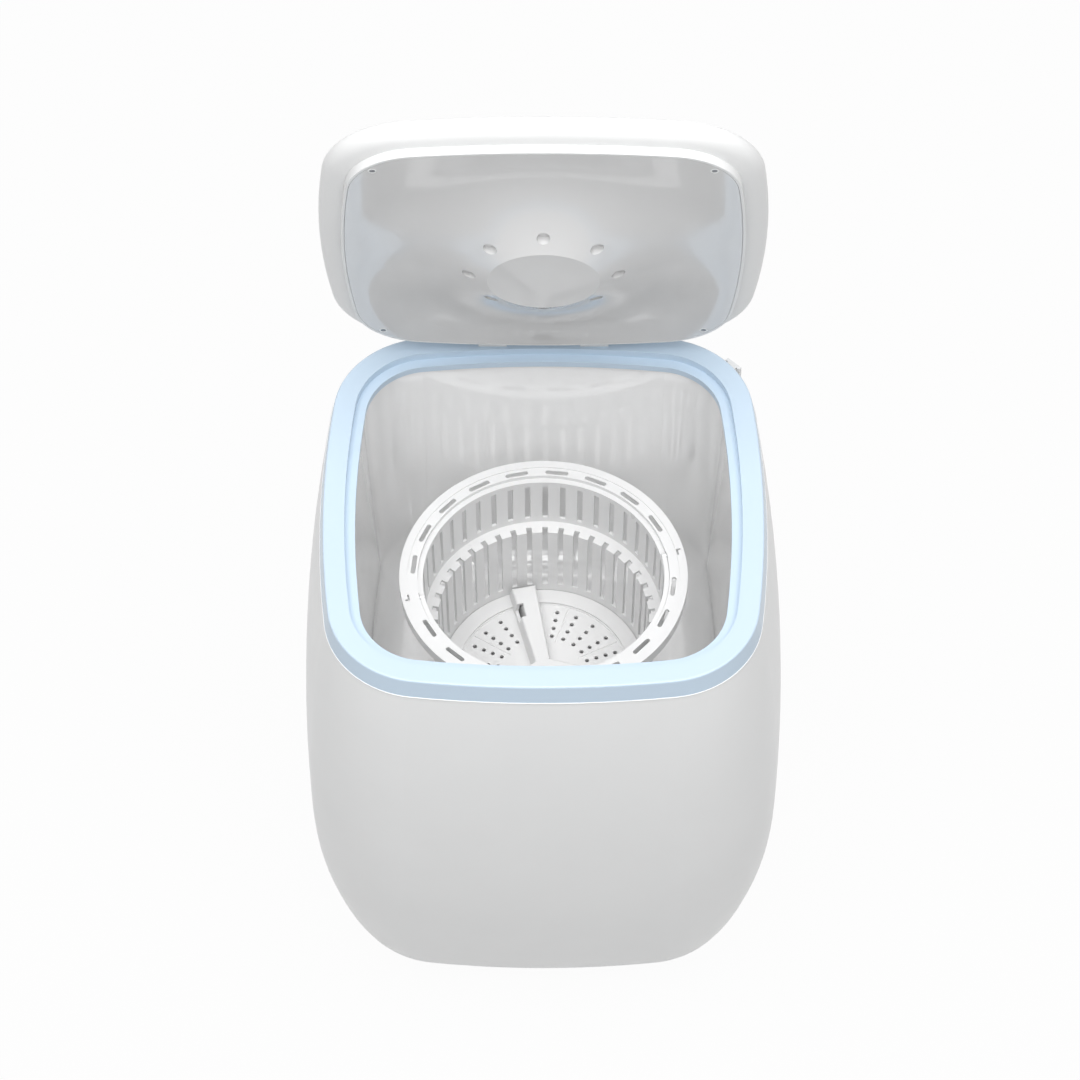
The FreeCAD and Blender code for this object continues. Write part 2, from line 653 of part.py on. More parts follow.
def hose_cleat():
    """A small cleat on the rear right corner, just under the ring, that holds a hose."""
    low = at.rim_bottom - at.cleat_height
    spot = corner_spot(scaled_sides(half_width(low)), 0)
    stem = Part.makeBox(2 * at.cleat_reach, at.cleat_width, at.cleat_height,
                        Vector(-at.cleat_reach, -at.cleat_width / 2, 0))
    head_width = at.cleat_width + 2 * at.cleat_head
    head = Part.makeBox(at.cleat_head, head_width, at.cleat_height,
                        Vector(at.cleat_reach - at.cleat_head, -head_width / 2, 0))
    cleat = stem.fuse(head).removeSplitter()
    cleat.rotate(Vector(), UP, math.degrees(math.atan2(spot.y, spot.x)))
    cleat.translate(Vector(spot.x, spot.y, low))
    return cleat.cut(cabinet_block(at.seam_height, at.rim_bottom, -at.fit_gap))


def group(label, shapes):
    """Like pieces that share one node, each a solid of its own."""
    return keep(label, made(label, Part.makeCompound(shapes)))


def screw_up(spot, seat, tip, radius, head_radius, head_height):
    """A screw driven upwards: its head under the seat, its shank up to the tip."""
    head = upright(head_radius, seat - head_height, seat, spot)
    return head.fuse(upright(radius, seat, tip, spot)).removeSplitter()


def plain_screw(spot, seat, tip):
    return screw_up(spot, seat, tip, at.screw_radius, at.screw_head_radius, at.screw_head_height)


def base_tray():
    block = cabinet_block(at.foot_height, at.seam_height)
    tray = block.cut(cabinet_block(at.tray_floor, at.seam_height, at.wall))
    bore = at.screw_head_radius + at.fit_gap
    for spot in TRAY_SCREWS:
        tray = tray.fuse(upright(bore + at.wall, at.foot_height, at.seam_height, spot).common(block))
    tools = [upright(bore, at.foot_height, at.tray_shoulder, spot) for spot in TRAY_SCREWS]
    tools += [upright(SHANK_HOLE, at.foot_height, at.seam_height, spot) for spot in TRAY_SCREWS]
    tools += [upright(at.foot_plug_radius, at.foot_height, at.tray_floor, spot) for spot in FEET]
    return tray.cut(tools)


def rubber_foot(spot):
    pad = Part.makeCone(at.foot_radius - at.wall, at.foot_radius, at.foot_height, Vector(spot.x, spot.y, 0))
    plug = upright(at.foot_plug_radius, at.foot_height, at.tray_floor + at.wall, spot)
    return pad.fuse(plug).removeSplitter()


FEET = four_corners(Vector(at.foot_spread, at.foot_spread, 0))
keep("body_shell", made("body_shell", body_shell()))
keep("grip_cup_right", made("grip_cup_right", grip_cup(1)))
keep("grip_cup_left", made("grip_cup_left", grip_cup(-1)))
keep("hose_cleat", made("hose_cleat", hose_cleat()))
keep("base_tray", made("base_tray", base_tray()))
group("rubber_feet", [rubber_foot(spot) for spot in FEET])
tray_tip = at.seam_height + at.tray_boss_height - 2 * at.wall
group("tray_screws", [plain_screw(spot, at.tray_shoulder, tray_tip) for spot in TRAY_SCREWS])

# Rim ring and wash tub

HINGE_SCREWS = [Vector(side * (at.knuckle_end + at.ear_end) / 2, at.hinge_behind, 0) for side in (1, -1)]
HOUSING_SCREWS = four_corners(Vector(at.housing_bolt_circle, at.housing_bolt_circle, 0) * math.sqrt(0.5))
POSTS = [Vector(side * at.post_half_span, along, 0)
         for side in (1, -1) for along in (at.post_back, -at.post_front)]


def rim_ring():
    block = loft([scaled_wire(half_width(at.rim_bottom), at.rim_bottom), rim_wire(0, at.rim_top)], ruled=True)
    block = rounded(block, at.rim_edge, at.rim_top)
    ring = block.cut(prism(at.mouth_inset, at.rim_bottom, at.rim_top))
    ring = ring.cut(prism(at.rim_flange, at.ledge_top, at.rim_top))
    step_wall = at.rim_flange - at.wall
    ring = ring.cut(hoop(at.wall, step_wall, at.rim_bottom, at.rim_top - at.wall))
    ring = ring.cut(hoop(step_wall, at.lip_outer_inset, at.rim_bottom, at.ledge_under))
    ring = ring.cut(hoop(at.lip_outer_inset, at.mouth_inset, at.rim_bottom, at.ledge_top - at.rim_lip))
    for spot in RIM_SCREWS:
        ring = ring.fuse(upright(at.rim_boss_radius, at.flange_top, at.rim_top - at.wall / 2, spot))
    tools = [upright(at.screw_radius, at.flange_top, at.rim_top - 2 * at.wall, spot) for spot in RIM_SCREWS]
    tools += [upright(SHANK_HOLE, at.rim_top - at.wall, at.rim_top, spot)
              for spot in HINGE_SCREWS]
    return ring.cut(tools)


def tub_block(thick):
    """The tub's form as a solid; thick is 0 for its inside and the wall for its outside."""
    knee = at.tub_knee + thick
    knee_height = at.tub_floor + at.tub_knee
    middle = at.tub_inset + at.tub_draft + at.tub_knee
    mouth = rim_wire(at.tub_inset - thick, at.tub_top)
    walls = loft([rim_wire(middle - knee, knee_height), mouth], ruled=True)
    wires = []
    for step in range(6):
        angle = math.pi / 2 * step / 5
        wires.append(rim_wire(middle - knee * math.cos(angle), knee_height - knee * math.sin(angle)))
    return walls.fuse(loft(wires))


def wash_tub():
    tub = tub_block(at.wall).cut(tub_block(0))
    tub = tub.fuse(hoop(at.wall + 2 * at.fit_gap, at.tub_inset - at.wall / 2, at.flange_under, at.flange_top))
    for spot in HOUSING_SCREWS:
        tub = tub.fuse(upright(2 * at.wall, at.tub_under, at.neck_top, spot))
    for spot in POSTS:
        tub = tub.fuse(upright(at.post_radius, at.post_top, at.tub_floor, spot))
    tools = [upright(SHANK_HOLE, at.flange_under, at.flange_top, spot) for spot in RIM_SCREWS]
    pilot_top = at.tub_floor + at.wall / 3
    tools += [upright(at.screw_radius, at.tub_under, pilot_top, spot) for spot in HOUSING_SCREWS]
    tools += [upright(at.screw_radius, at.post_top, at.tub_under, spot) for spot in POSTS]
    tools.append(upright(at.housing_neck_radius + at.fit_gap, at.tub_under, at.tub_floor, Vector()))
    drain = Vector(0, at.drain_behind, 0)
    tools.append(upright(at.drain_radius + at.fit_gap, at.tub_under, at.tub_floor, drain))
    return tub.cut(tools)


keep("rim_ring", made("rim_ring", rim_ring()))
keep("wash_tub", made("wash_tub", wash_tub()))
gasket = hoop(at.tub_inset - at.wall, at.tub_inset, at.tub_top, at.ledge_under)
keep("rim_gasket", made("rim_gasket", gasket))
group("rim_screws", [plain_screw(spot, at.shelf_under, at.rim_top - 3 * at.wall) for spot in RIM_SCREWS])

# Drive: bearing housing, shaft, pulleys and belt

housing = turned("bearing_housing_turned", [
    ("bush_radius", "barrel_bottom"), ("barrel_radius", "barrel_bottom"), ("barrel_radius", "housing_under"),
    ("housing_flange_radius", "housing_under"), ("housing_flange_radius", "tub_under"),
    ("housing_neck_radius", "tub_under"), ("housing_neck_radius", "neck_top"), ("seal_radius", "neck_top"),
    ("seal_radius", "seal_bottom"), ("bush_radius", "seal_bottom"), ("bush_radius", "upper_bush"),
    ("shaft_radius + shaft_room", "upper_bush"), ("shaft_radius + shaft_room", "lower_bush_top"),
    ("bush_radius", "lower_bush_top"),
])
flange_holes = [upright(SHANK_HOLE, at.housing_under, at.tub_under, spot)
                for spot in HOUSING_SCREWS]
flange_tool = made("bearing_housing_holes", Part.makeCompound(flange_holes))
keep("bearing_housing", cut("bearing_housing", housing, [flange_tool]))
shaft_fit = "shaft_radius + run_gap"
keep("lower_bush", tube("lower_bush", shaft_fit, "bush_radius", "barrel_bottom", "lower_bush_top"))
keep("upper_bush", tube("upper_bush", shaft_fit, "bush_radius", "upper_bush", "seal_bottom"))
keep("shaft_seal", tube("shaft_seal", shaft_fit, "seal_radius", "seal_bottom", "seal_bottom + seal_height"))
group("housing_screws", [plain_screw(spot, at.housing_under, at.tub_floor) for spot in HOUSING_SCREWS])
keep("drive_shaft", turned("drive_shaft", [
    ("0", "shaft_bottom"), ("shaft_radius", "shaft_bottom"), ("shaft_radius", "shaft_top"),
    ("screw_radius", "shaft_top"), ("screw_radius", "shaft_top - 2 * shaft_radius"),
    ("0", "shaft_top - 2 * shaft_radius"),
]))


def pulley(label, pitch, bore, y="0"):
    """A grooved pulley whose belt runs at the pitch radius."""
    groove = f"{pitch} - belt_thick / 2 - fit_gap"
    flange = f"{pitch} + belt_thick / 3"
    return keep(label, turned(label, [
        (bore, "pulley_bottom"), (flange, "pulley_bottom"), (flange, "belt_bottom - fit_gap"),
        (groove, "belt_bottom - fit_gap"), (groove, "belt_top + fit_gap"),
        (flange, "belt_top + fit_gap"), (flange, "pulley_top"), (bore, "pulley_top"),
    ], "0", y))


def belt_loop(offset):
    """The belt's closed outline about both pulleys, an offset from the belt line."""
    large = at.driven_pitch + offset
    small = at.motor_pitch + offset
    sine = (large - small) / at.motor_offset
    cosine = math.sqrt(1 - sine ** 2)
    right = Vector(cosine, -sine, at.belt_bottom)
    left = Vector(-cosine, -sine, at.belt_bottom)

    def on_pulley(direction, radius, centre_y):
        return Vector(direction.x * radius, direction.y * radius + centre_y, at.belt_bottom)

    rear = on_pulley(Vector(0, 1, 0), large, 0)
    front = on_pulley(Vector(0, -1, 0), small, -at.motor_offset)
    spots = [on_pulley(right, large, 0), on_pulley(left, large, 0),
             on_pulley(left, small, -at.motor_offset), on_pulley(right, small, -at.motor_offset)]
    edges = [
        Part.Arc(spots[0], rear, spots[1]).toShape(),
        Part.LineSegment(spots[1], spots[2]).toShape(),
        Part.Arc(spots[2], front, spots[3]).toShape(),
        Part.LineSegment(spots[3], spots[0]).toShape(),
    ]
    return Part.Face(Part.Wire(edges)).extrude(UP * at.belt_width)


pulley("driven_pulley", "driven_pitch", "shaft_radius")
pulley("motor_pulley", "motor_pitch", "motor_shaft_radius", "-motor_offset")
keep("drive_belt", made("drive_belt", belt_loop(at.belt_thick / 2).cut(belt_loop(-at.belt_thick / 2))))
hexagon = doc.addObject("Part::Prism", "pulley_nut_hexagon")
hexagon.Polygon = 6
hexagon.setExpression("Circumradius", bind("nut_radius"))
hexagon.setExpression("Height", bind("shaft_radius"))
place(hexagon, "0", "0", "nut_bottom")
nut_bore = rod("pulley_nut_bore", "shaft_radius", "nut_bottom", "pulley_bottom")
keep("pulley_nut", cut("pulley_nut", hexagon, [nut_bore]))

# Motor and its bracket

MOTOR_BOLTS = [spot + Vector(0, -at.motor_offset, 0) for spot in
               four_corners(Vector(at.motor_bolt_circle, at.motor_bolt_circle, 0) * math.sqrt(0.5))]


def motor_bracket():
    plate = Part.makeBox(2 * at.deck_half_width, at.deck_front + at.deck_back, at.deck_thick,
                         Vector(-at.deck_half_width, -at.deck_front, at.deck_height))
    uprights = [edge for edge in plate.Edges if abs(edge.tangentAt(edge.FirstParameter).z) > 0.99]
    plate = plate.makeFillet(2 * at.post_radius, uprights)
    tools = [upright(SHANK_HOLE, at.deck_height, at.deck_top, spot) for spot in POSTS + MOTOR_BOLTS]
    tools.append(upright(2 * at.shaft_radius, at.deck_height, at.deck_top, Vector()))
    motor_axis = Vector(0, -at.motor_offset, 0)
    tools.append(upright(2 * at.motor_shaft_radius, at.deck_height, at.deck_top, motor_axis))
    return plate.cut(tools)


keep("motor_bracket", made("motor_bracket", motor_bracket()))
group("bracket_posts", [washer(spot, at.post_radius, SHANK_HOLE, at.deck_top, at.post_top) for spot in POSTS])
post_tip = at.tub_under - at.wall
group("bracket_bolts", [plain_screw(spot, at.deck_height, post_tip) for spot in POSTS])
bearing = "motor_shaft_radius + run_gap"
end_cap = "3 * motor_sheet"
can = turned("motor_can_turned", [
    (bearing, "motor_bottom"), ("motor_foot_radius", "motor_bottom"),
    ("motor_foot_radius", "motor_bottom + motor_sheet"), ("motor_radius", "motor_bottom + motor_sheet"),
    ("motor_radius", "motor_top"), (bearing, "motor_top"), (bearing, f"motor_top - {end_cap}"),
    ("motor_radius - motor_sheet", f"motor_top - {end_cap}"),
    ("motor_radius - motor_sheet", f"motor_bottom + {end_cap}"), (bearing, f"motor_bottom + {end_cap}"),
], "0", "-motor_offset")
nut_seat = at.motor_bottom + at.motor_sheet
foot_holes = [upright(SHANK_HOLE, at.motor_bottom, nut_seat, spot) for spot in MOTOR_BOLTS]
keep("motor_can", cut("motor_can", can, [made("motor_can_holes", Part.makeCompound(foot_holes))]))
keep("motor_stator", tube("motor_stator", "rotor_radius + stator_gap", "motor_radius - motor_sheet",
                          f"motor_bottom + {end_cap}", f"motor_top - {end_cap}", "0", "-motor_offset"))
rotor_end = "4 * motor_sheet"
keep("motor_rotor", tube("motor_rotor", "motor_shaft_radius", "rotor_radius", f"motor_bottom + {rotor_end}",
                         f"motor_top - {rotor_end}", "0", "-motor_offset"))
keep("motor_shaft", rod("motor_shaft", "motor_shaft_radius", "pulley_bottom - motor_sheet",
                        "motor_top + motor_sheet", "0", "-motor_offset"))
group("motor_grommets", [washer(spot, at.grommet_radius, SHANK_HOLE, at.deck_top, at.motor_bottom)
                         for spot in MOTOR_BOLTS])
group("motor_bolts", [plain_screw(spot, at.deck_height, nut_seat + 2 * at.screw_head_height)
                      for spot in MOTOR_BOLTS])
nut_top = nut_seat + at.screw_head_height
group("motor_nuts", [washer(spot, at.screw_head_radius, at.screw_radius, nut_seat, nut_top)
                     for spot in MOTOR_BOLTS])
capacitor_place = ("-capacitor_x", "capacitor_y")
keep("run_capacitor", rod("run_capacitor", "capacitor_radius", "tray_floor", "tray_floor + capacitor_height",
                          *capacitor_place))
keep("capacitor_clip", tube("capacitor_clip", "capacitor_radius", "capacitor_radius + wall", "tray_floor",
                            "tray_floor + capacitor_radius", *capacitor_place))

# Drain, mains gland and touch board

VALVE_BOTTOM = "tub_under - valve_height"
OUTLET = f"{VALVE_BOTTOM} + valve_radius - wall"
PIPE_START = "drain_behind + valve_radius + drain_radius"
valve_body = turned("drain_valve_turned", [
    ("0", VALVE_BOTTOM), ("valve_radius", VALVE_BOTTOM), ("valve_radius", "tub_under"),
    ("drain_radius", "tub_under"), ("drain_radius", "tub_floor"), ("0", "tub_floor"),
], "0", "drain_behind")
valve_stub = rear_rod("drain_valve_stub", "drain_radius", "drain_behind", PIPE_START, "0", OUTLET)
valve_well = rod("drain_valve_well", "drain_bore", f"{VALVE_BOTTOM} + wall", "tub_floor", "0", "drain_behind")
valve_bore = rear_rod("drain_valve_bore", "drain_bore", "drain_behind", PIPE_START, "0", OUTLET)
valve_outside = joined("drain_valve_outside", [valve_body, valve_stub])
keep("drain_valve", cut("drain_valve", valve_outside, [valve_well, valve_bore]))
keep("valve_coil", rod("valve_coil", "coil_radius", f"{VALVE_BOTTOM} - valve_radius", VALVE_BOTTOM,
                       "0", "drain_behind"))


def drain_pipe(radius):
    """The pipe from the valve, down inside the rear wall and out to the spigot."""
    start = value(PIPE_START)
    high = value(OUTLET)
    low = at.spigot_height
    bend = at.pipe_bend
    drop = start + bend + at.pipe_lead
    slope = bend * (1 - math.sqrt(0.5))
    spots = [Vector(0, start, high), Vector(0, drop - bend, high), Vector(0, drop - slope, high - slope),
             Vector(0, drop, high - bend), Vector(0, drop, low + bend), Vector(0, drop + slope, low + slope),
             Vector(0, drop + bend, low)]
    path = Part.Wire([
        Part.LineSegment(spots[0], spots[1]).toShape(),
        Part.Arc(*spots[1:4]).toShape(),
        Part.LineSegment(spots[3], spots[4]).toShape(),
        Part.Arc(*spots[4:7]).toShape(),
    ])
    section = Part.Wire(Part.makeCircle(radius, spots[0], Vector(0, 1, 0)))
    return path.makePipeShell([section], True, False), spots[-1].y


def rear_face(x, z, inset=0):
    """How far behind the drive axis the cabinet's rear wall lies."""
    sides = scaled_sides(half_width(z, inset))
    bow = sides[3]
    return sides[1] - bow + math.sqrt(bow ** 2 - x ** 2)


def outlet_spigot(start):
    """The outlet through the rear wall, with a collar outside that stops the hose."""
    rear = Vector(0, 1, 0)
    inner_end = Vector(0, start, at.spigot_height)
    pipe_wall = at.drain_radius - at.drain_bore
    stop = rear_face(0, at.spigot_height) + at.spigot_collar
    collar = Part.makeCylinder(at.drain_radius + pipe_wall, stop - start, inner_end, rear)
    collar = collar.cut(cabinet_block(at.seam_height, at.rim_bottom, -at.fit_gap))
    length = stop + at.spigot_reach - start
    spigot = Part.makeCylinder(at.drain_radius, length, inner_end, rear).fuse(collar).removeSplitter()
    return spigot.cut(Part.makeCylinder(at.drain_bore, length, inner_end, rear))


pipe, pipe_end = drain_pipe(at.drain_radius)
keep("drain_pipe", made("drain_pipe", pipe.cut(drain_pipe(at.drain_bore)[0])))
keep("outlet_spigot", made("outlet_spigot", outlet_spigot(pipe_end)))


def gland_ring(outer, low, high):
    """A sleeve on the mains gland's axis."""
    start = Vector(-at.gland_left, low, at.gland_height)
    return Part.makeCylinder(outer, high - low, start, Vector(0, 1, 0))


COLLAR = at.gland_radius + at.wall
COLLAR_FACE = rear_face(at.gland_left - COLLAR, at.gland_height + COLLAR) + at.fit_gap
NUT_FACE = rear_face(at.gland_left + COLLAR, at.gland_height - COLLAR, at.wall) - at.fit_gap
GLAND_START = NUT_FACE - 2 * at.wall
gland = gland_ring(at.gland_radius, GLAND_START, COLLAR_FACE)
gland = gland.fuse(gland_ring(COLLAR, COLLAR_FACE, COLLAR_FACE + at.wall)).removeSplitter()
cable_hole = gland_ring(at.gland_bore, GLAND_START, COLLAR_FACE + at.wall)
keep("mains_gland", made("mains_gland", gland.cut(cable_hole)))
locknut = gland_ring(COLLAR, NUT_FACE - at.wall, NUT_FACE)
keep("gland_nut", made("gland_nut", locknut.cut(gland_ring(at.gland_radius, NUT_FACE - at.wall, NUT_FACE))))


def board_block(width, tall, thick, depth):
    """A plate behind the front wall, parallel to it, its front face a depth in from the wall."""
    z = at.rim_top - at.board_below
    side_lean = math.asin((z - at.belly_height) / UPPER_BOW)
    lean = math.degrees(math.atan(math.tan(side_lean) * at.rim_half_depth / at.rim_half_width))
    block = Part.makeBox(width, thick, tall, Vector(-width / 2, depth, -tall / 2))
    block.rotate(Vector(), Vector(1, 0, 0), -lean)
    block.translate(Vector(0, -rear_face(at.board_width / 2 + at.wall, z, at.wall), z))
    return block


CARRIER = at.fit_gap * 2
carrier = board_block(at.board_width + 2 * at.wall, at.board_tall + 2 * at.wall, at.wall, CARRIER)
keep("board_carrier", made("board_carrier", carrier))
board = board_block(at.board_width, at.board_tall, at.board_thick, CARRIER + at.wall)
keep("touch_board", made("touch_board", board))

# Pulsator and spin basket, turned together about the drive axis


def yawed(piece):
    piece.Placement = Placement(Vector(), Rotation(UP, at.basket_yaw))
    return piece


def wedge(start, end, start_width, end_width, low, high):
    """A drafted block along +Y that widens from its start to its end."""
    draft = at.ridge_height / 6
    wires = []
    for z, inset in ((low, 0), (high, draft)):
        inner = start_width / 2 - inset
        outer = end_width / 2 - inset
        corners = [Vector(-inner, start + inset, z), Vector(inner, start + inset, z),
                   Vector(outer, end - inset, z), Vector(-outer, end - inset, z)]
        wires.append(Part.makePolygon(corners + corners[:1]))
    return loft(wires, ruled=True)


def around(shape, count, first=0):
    """Copies of a shape spaced evenly about the drive axis."""
    copies = []
    for index in range(int(count)):
        copy = shape.copy()
        copy.rotate(Vector(), UP, first + 360 * index / int(count))
        copies.append(copy)
    return copies


RIDGE_END = at.basket_foot - at.basket_wall_thick
RIDGE_TOP = at.basket_floor + at.ridge_height


def pulsator():
    inset = at.ridge_wall + at.vane_gap
    vane = wedge(at.vane_start, at.pulsator_radius - at.fit_gap, at.ridge_inner_width - 2 * inset,
                 at.ridge_outer_width - 2 * inset, at.pulsator_under, RIDGE_TOP - inset)
    solid = upright(at.pulsator_radius, at.pulsator_under, at.pulsator_top, Vector())
    solid = solid.fuse(upright(at.pulsator_hub_radius, at.pulsator_under, at.hub_top, Vector()))
    for copy in around(vane, at.vanes):
        solid = solid.fuse(copy)
    tools = [upright(at.shaft_radius, at.pulsator_under, at.shaft_top, Vector()),
             upright(SHANK_HOLE, at.shaft_top, at.screw_seat, Vector()),
             upright(at.pulsator_head_radius + at.shaft_room, at.screw_seat, RIDGE_TOP, Vector())]
    return solid.cut(tools)


ROW_PITCH = (360 / at.vanes - 2 * at.row_margin) / (at.hole_rows - 1)


def floor_grooves(rim_start):
    """Cutters for the half-round grooves in the basket floor: one inside its rim and some between rows."""
    ring_radius = rim_start - 2 * at.floor_groove
    cutters = [Part.makeTorus(ring_radius, at.floor_groove, Vector(0, 0, at.basket_floor))]
    groove = Part.makeCylinder(at.floor_groove, ring_radius - at.groove_start,
                               Vector(at.groove_start, 0, at.basket_floor), Vector(1, 0, 0))
    last_row = at.hole_rows - 1.5
    for row in (last_row - at.groove_rows, last_row):
        cutters += around(groove, at.vanes, 90 + at.row_margin + ROW_PITCH * row)
    return cutters


def basket_base():
    radius = at.basket_foot - at.fit_gap
    ridge = wedge(-at.ridge_overrun, RIDGE_END, at.ridge_inner_width, at.ridge_outer_width,
                  at.basket_under, RIDGE_TOP)
    ridge = rounded(ridge, at.ridge_edge, RIDGE_TOP)
    hollow = wedge(at.ridge_wall - at.ridge_overrun, RIDGE_END - at.ridge_wall,
                   at.ridge_inner_width - 2 * at.ridge_wall, at.ridge_outer_width - 2 * at.ridge_wall,
                   at.basket_under, RIDGE_TOP - at.ridge_wall)
    rim_start = at.floor_hole_start + at.holes_in_row * at.floor_hole_step
    solid = upright(radius, at.basket_under, at.basket_floor, Vector()).cut(floor_grooves(rim_start))
    rim_top = at.basket_floor + at.floor_rim
    solid = solid.fuse(washer(Vector(), radius, rim_start, at.basket_floor, rim_top))
    for copy in around(ridge, at.vanes):
        solid = solid.fuse(copy)
    tools = around(hollow, at.vanes)
    for row in range(int(at.hole_rows)):
        angle = 90 + at.row_margin + ROW_PITCH * row
        for step in range(int(at.holes_in_row)):
            reach = at.floor_hole_start + at.floor_hole_step * step
            hole = Part.makeCylinder(at.floor_hole_radius, at.basket_plate, Vector(reach, 0, at.basket_under))
            tools += around(hole, at.vanes, angle)
    notch = Part.makeBox(at.ridge_inner_width / 2, at.notch_length, at.ridge_height,
                         Vector(-0.75 * at.ridge_inner_width, at.notch_start,
                                at.basket_floor + at.ridge_height / 3))
    return solid.cut(tools + [notch])


def wall_slots():
    """Cutters for the slots of both tiers of the basket wall."""
    half = at.basket_slot_width / 2
    ledge = at.basket_floor + at.basket_ledge
    upper_low = ledge + at.upper_slot_foot
    upper = Part.makeBox(3 * at.basket_plate, 2 * half, at.seat_under - at.upper_slot_head - upper_low,
                         Vector(at.basket_mouth - 1.4 * at.basket_plate, -half, upper_low))
    lower_low = at.basket_floor + at.lower_slot_foot
    lower = Part.makeBox(4 * at.basket_plate, 2 * half, ledge + at.lower_slot_head - lower_low,
                         Vector(at.basket_foot - 1.4 * at.basket_plate, -half, lower_low))
    return Part.makeCompound(around(upper, at.basket_slots) + around(lower, at.basket_slots))


CLIP_RADIUS = at.basket_ring_radius - at.basket_lip_width + at.fit_gap


def ring_cuts():
    """Cutters for the basket ring: its slots, the pin holes and the rooms for the handle's eyes."""
    radius = at.web_radius + at.fit_gap + at.ring_slot_width / 2
    half = at.ring_slot_width / 2
    straight = at.ring_slot_length - at.ring_slot_width
    low = at.ring_under
    height = at.basket_plate
    slot = Part.makeBox(2 * half, straight, height, Vector(radius - half, -straight / 2, low))
    for end in (-straight / 2, straight / 2):
        slot = slot.fuse(Part.makeCylinder(half, height, Vector(radius, end, low)))
    tools = []
    count = int(round(180 / at.ring_slot_pitch)) - 1
    for half_turn in (0, 180):
        for index in range(count):
            copy = slot.copy()
            copy.rotate(Vector(), UP, half_turn + at.ring_slot_pitch * (index + 1))
            tools.append(copy)
    clip = Part.makeBox(at.clip_slot_width, at.clip_slot_length, at.basket_skirt,
                        Vector(CLIP_RADIUS, -at.clip_slot_length / 2, low))
    clip_arm = Part.makeBox(at.clip_slot_length / 2, at.clip_slot_width, at.basket_skirt,
                            Vector(CLIP_RADIUS + at.clip_slot_width / 2, at.clip_slot_width, low))
    tools += around(clip.fuse(clip_arm), 2)
    start = at.basket_mouth - at.ring_web
    room_side = 3 * at.handle_eye_radius
    room = Part.makeBox(at.seat_radius + at.ring_web / 3 - start, room_side, room_side,
                        Vector(start, -room_side / 2, at.handle_axis - at.handle_eye_radius - at.fit_gap))
    pin_hole = Part.makeCylinder(at.handle_pin_radius, at.seat_radius + at.handle_pin_depth - start,
                                 Vector(start, 0, at.handle_axis), Vector(1, 0, 0))
    return Part.makeCompound(tools + around(room, 2) + around(pin_hole, 2))


def pin_bosses():
    """Blocks under the basket ring that hold the handle's pins."""
    low = at.seat_under + at.ring_web / 2
    high = at.basket_ring_top - at.basket_plate / 2
    boss = Part.makeBox(at.handle_pin_depth + at.ring_web, 4 * at.handle_eye_radius, high - low,
                        Vector(at.seat_radius + at.ring_web / 2, -2 * at.handle_eye_radius, low))
    return Part.makeCompound(around(boss, 2))


HANDLE_START = at.basket_mouth + at.fit_gap


def basket_handle():
    """The bail: half a ring in the seat on the front side, with an eye at each end."""
    low = at.handle_axis - at.handle_thick / 2
    high = at.handle_axis + at.handle_thick / 2
    end = HANDLE_START + at.handle_width
    corners = [Vector(HANDLE_START, 0, low), Vector(end, 0, low), Vector(end, 0, high),
               Vector(HANDLE_START, 0, high)]
    section = Part.Face(Part.makePolygon(corners + corners[:1]))
    bail = section.revolve(Vector(), Vector(0, 0, -1), 180)
    eye = Part.makeCylinder(at.handle_eye_radius, at.handle_width, Vector(HANDLE_START, 0, at.handle_axis),
                            Vector(1, 0, 0))
    for copy in around(eye, 2):
        bail = bail.fuse(copy)
    hole = Part.makeCylinder(at.handle_pin_radius + at.run_gap, 2 * at.basket_mouth * 2,
                             Vector(-2 * at.basket_mouth, 0, at.handle_axis), Vector(1, 0, 0))
    return bail.cut(hole)


def handle_pin():
    return Part.makeCylinder(at.handle_pin_radius, at.seat_radius + at.handle_pin_depth - HANDLE_START,
                             Vector(HANDLE_START, 0, at.handle_axis), Vector(1, 0, 0))


keep("pulsator", yawed(made("pulsator", pulsator())))
keep("pulsator_screw", turned("pulsator_screw", [
    ("0", "shaft_top - 2 * shaft_radius"), ("screw_radius", "shaft_top - 2 * shaft_radius"),
    ("screw_radius", "screw_seat"), ("pulsator_head_radius", "screw_seat"),
    ("pulsator_head_radius", "screw_seat + screw_head_height"), ("0", "screw_seat + screw_head_height"),
]))
keep("basket_base", yawed(made("basket_base", basket_base())))
wall_turned = turned("basket_wall_turned", [
    ("basket_mouth", "seat_under"), ("basket_mouth + basket_wall_thick", "seat_under"),
    ("basket_mouth + basket_wall_thick - basket_lean", "basket_floor + basket_ledge - basket_wall_thick"),
    ("basket_waist + basket_wall_thick", "basket_floor + basket_ledge - ledge_fall - basket_wall_thick"),
    ("basket_foot + basket_wall_thick", "basket_under - basket_plate"),
    ("basket_foot - basket_toe", "basket_under - basket_plate"), ("basket_foot - basket_toe", "basket_under"),
    ("basket_foot", "basket_under"), ("basket_waist", "basket_floor + basket_ledge - ledge_fall"),
    ("basket_mouth - basket_lean", "basket_floor + basket_ledge"),
])
keep("basket_wall", yawed(cut("basket_wall", wall_turned, [made("basket_wall_slots", wall_slots())])))
skirt_inner = "basket_mouth + basket_wall_thick + fit_gap"
skirt_outer = "basket_mouth + 2 * basket_wall_thick + fit_gap"
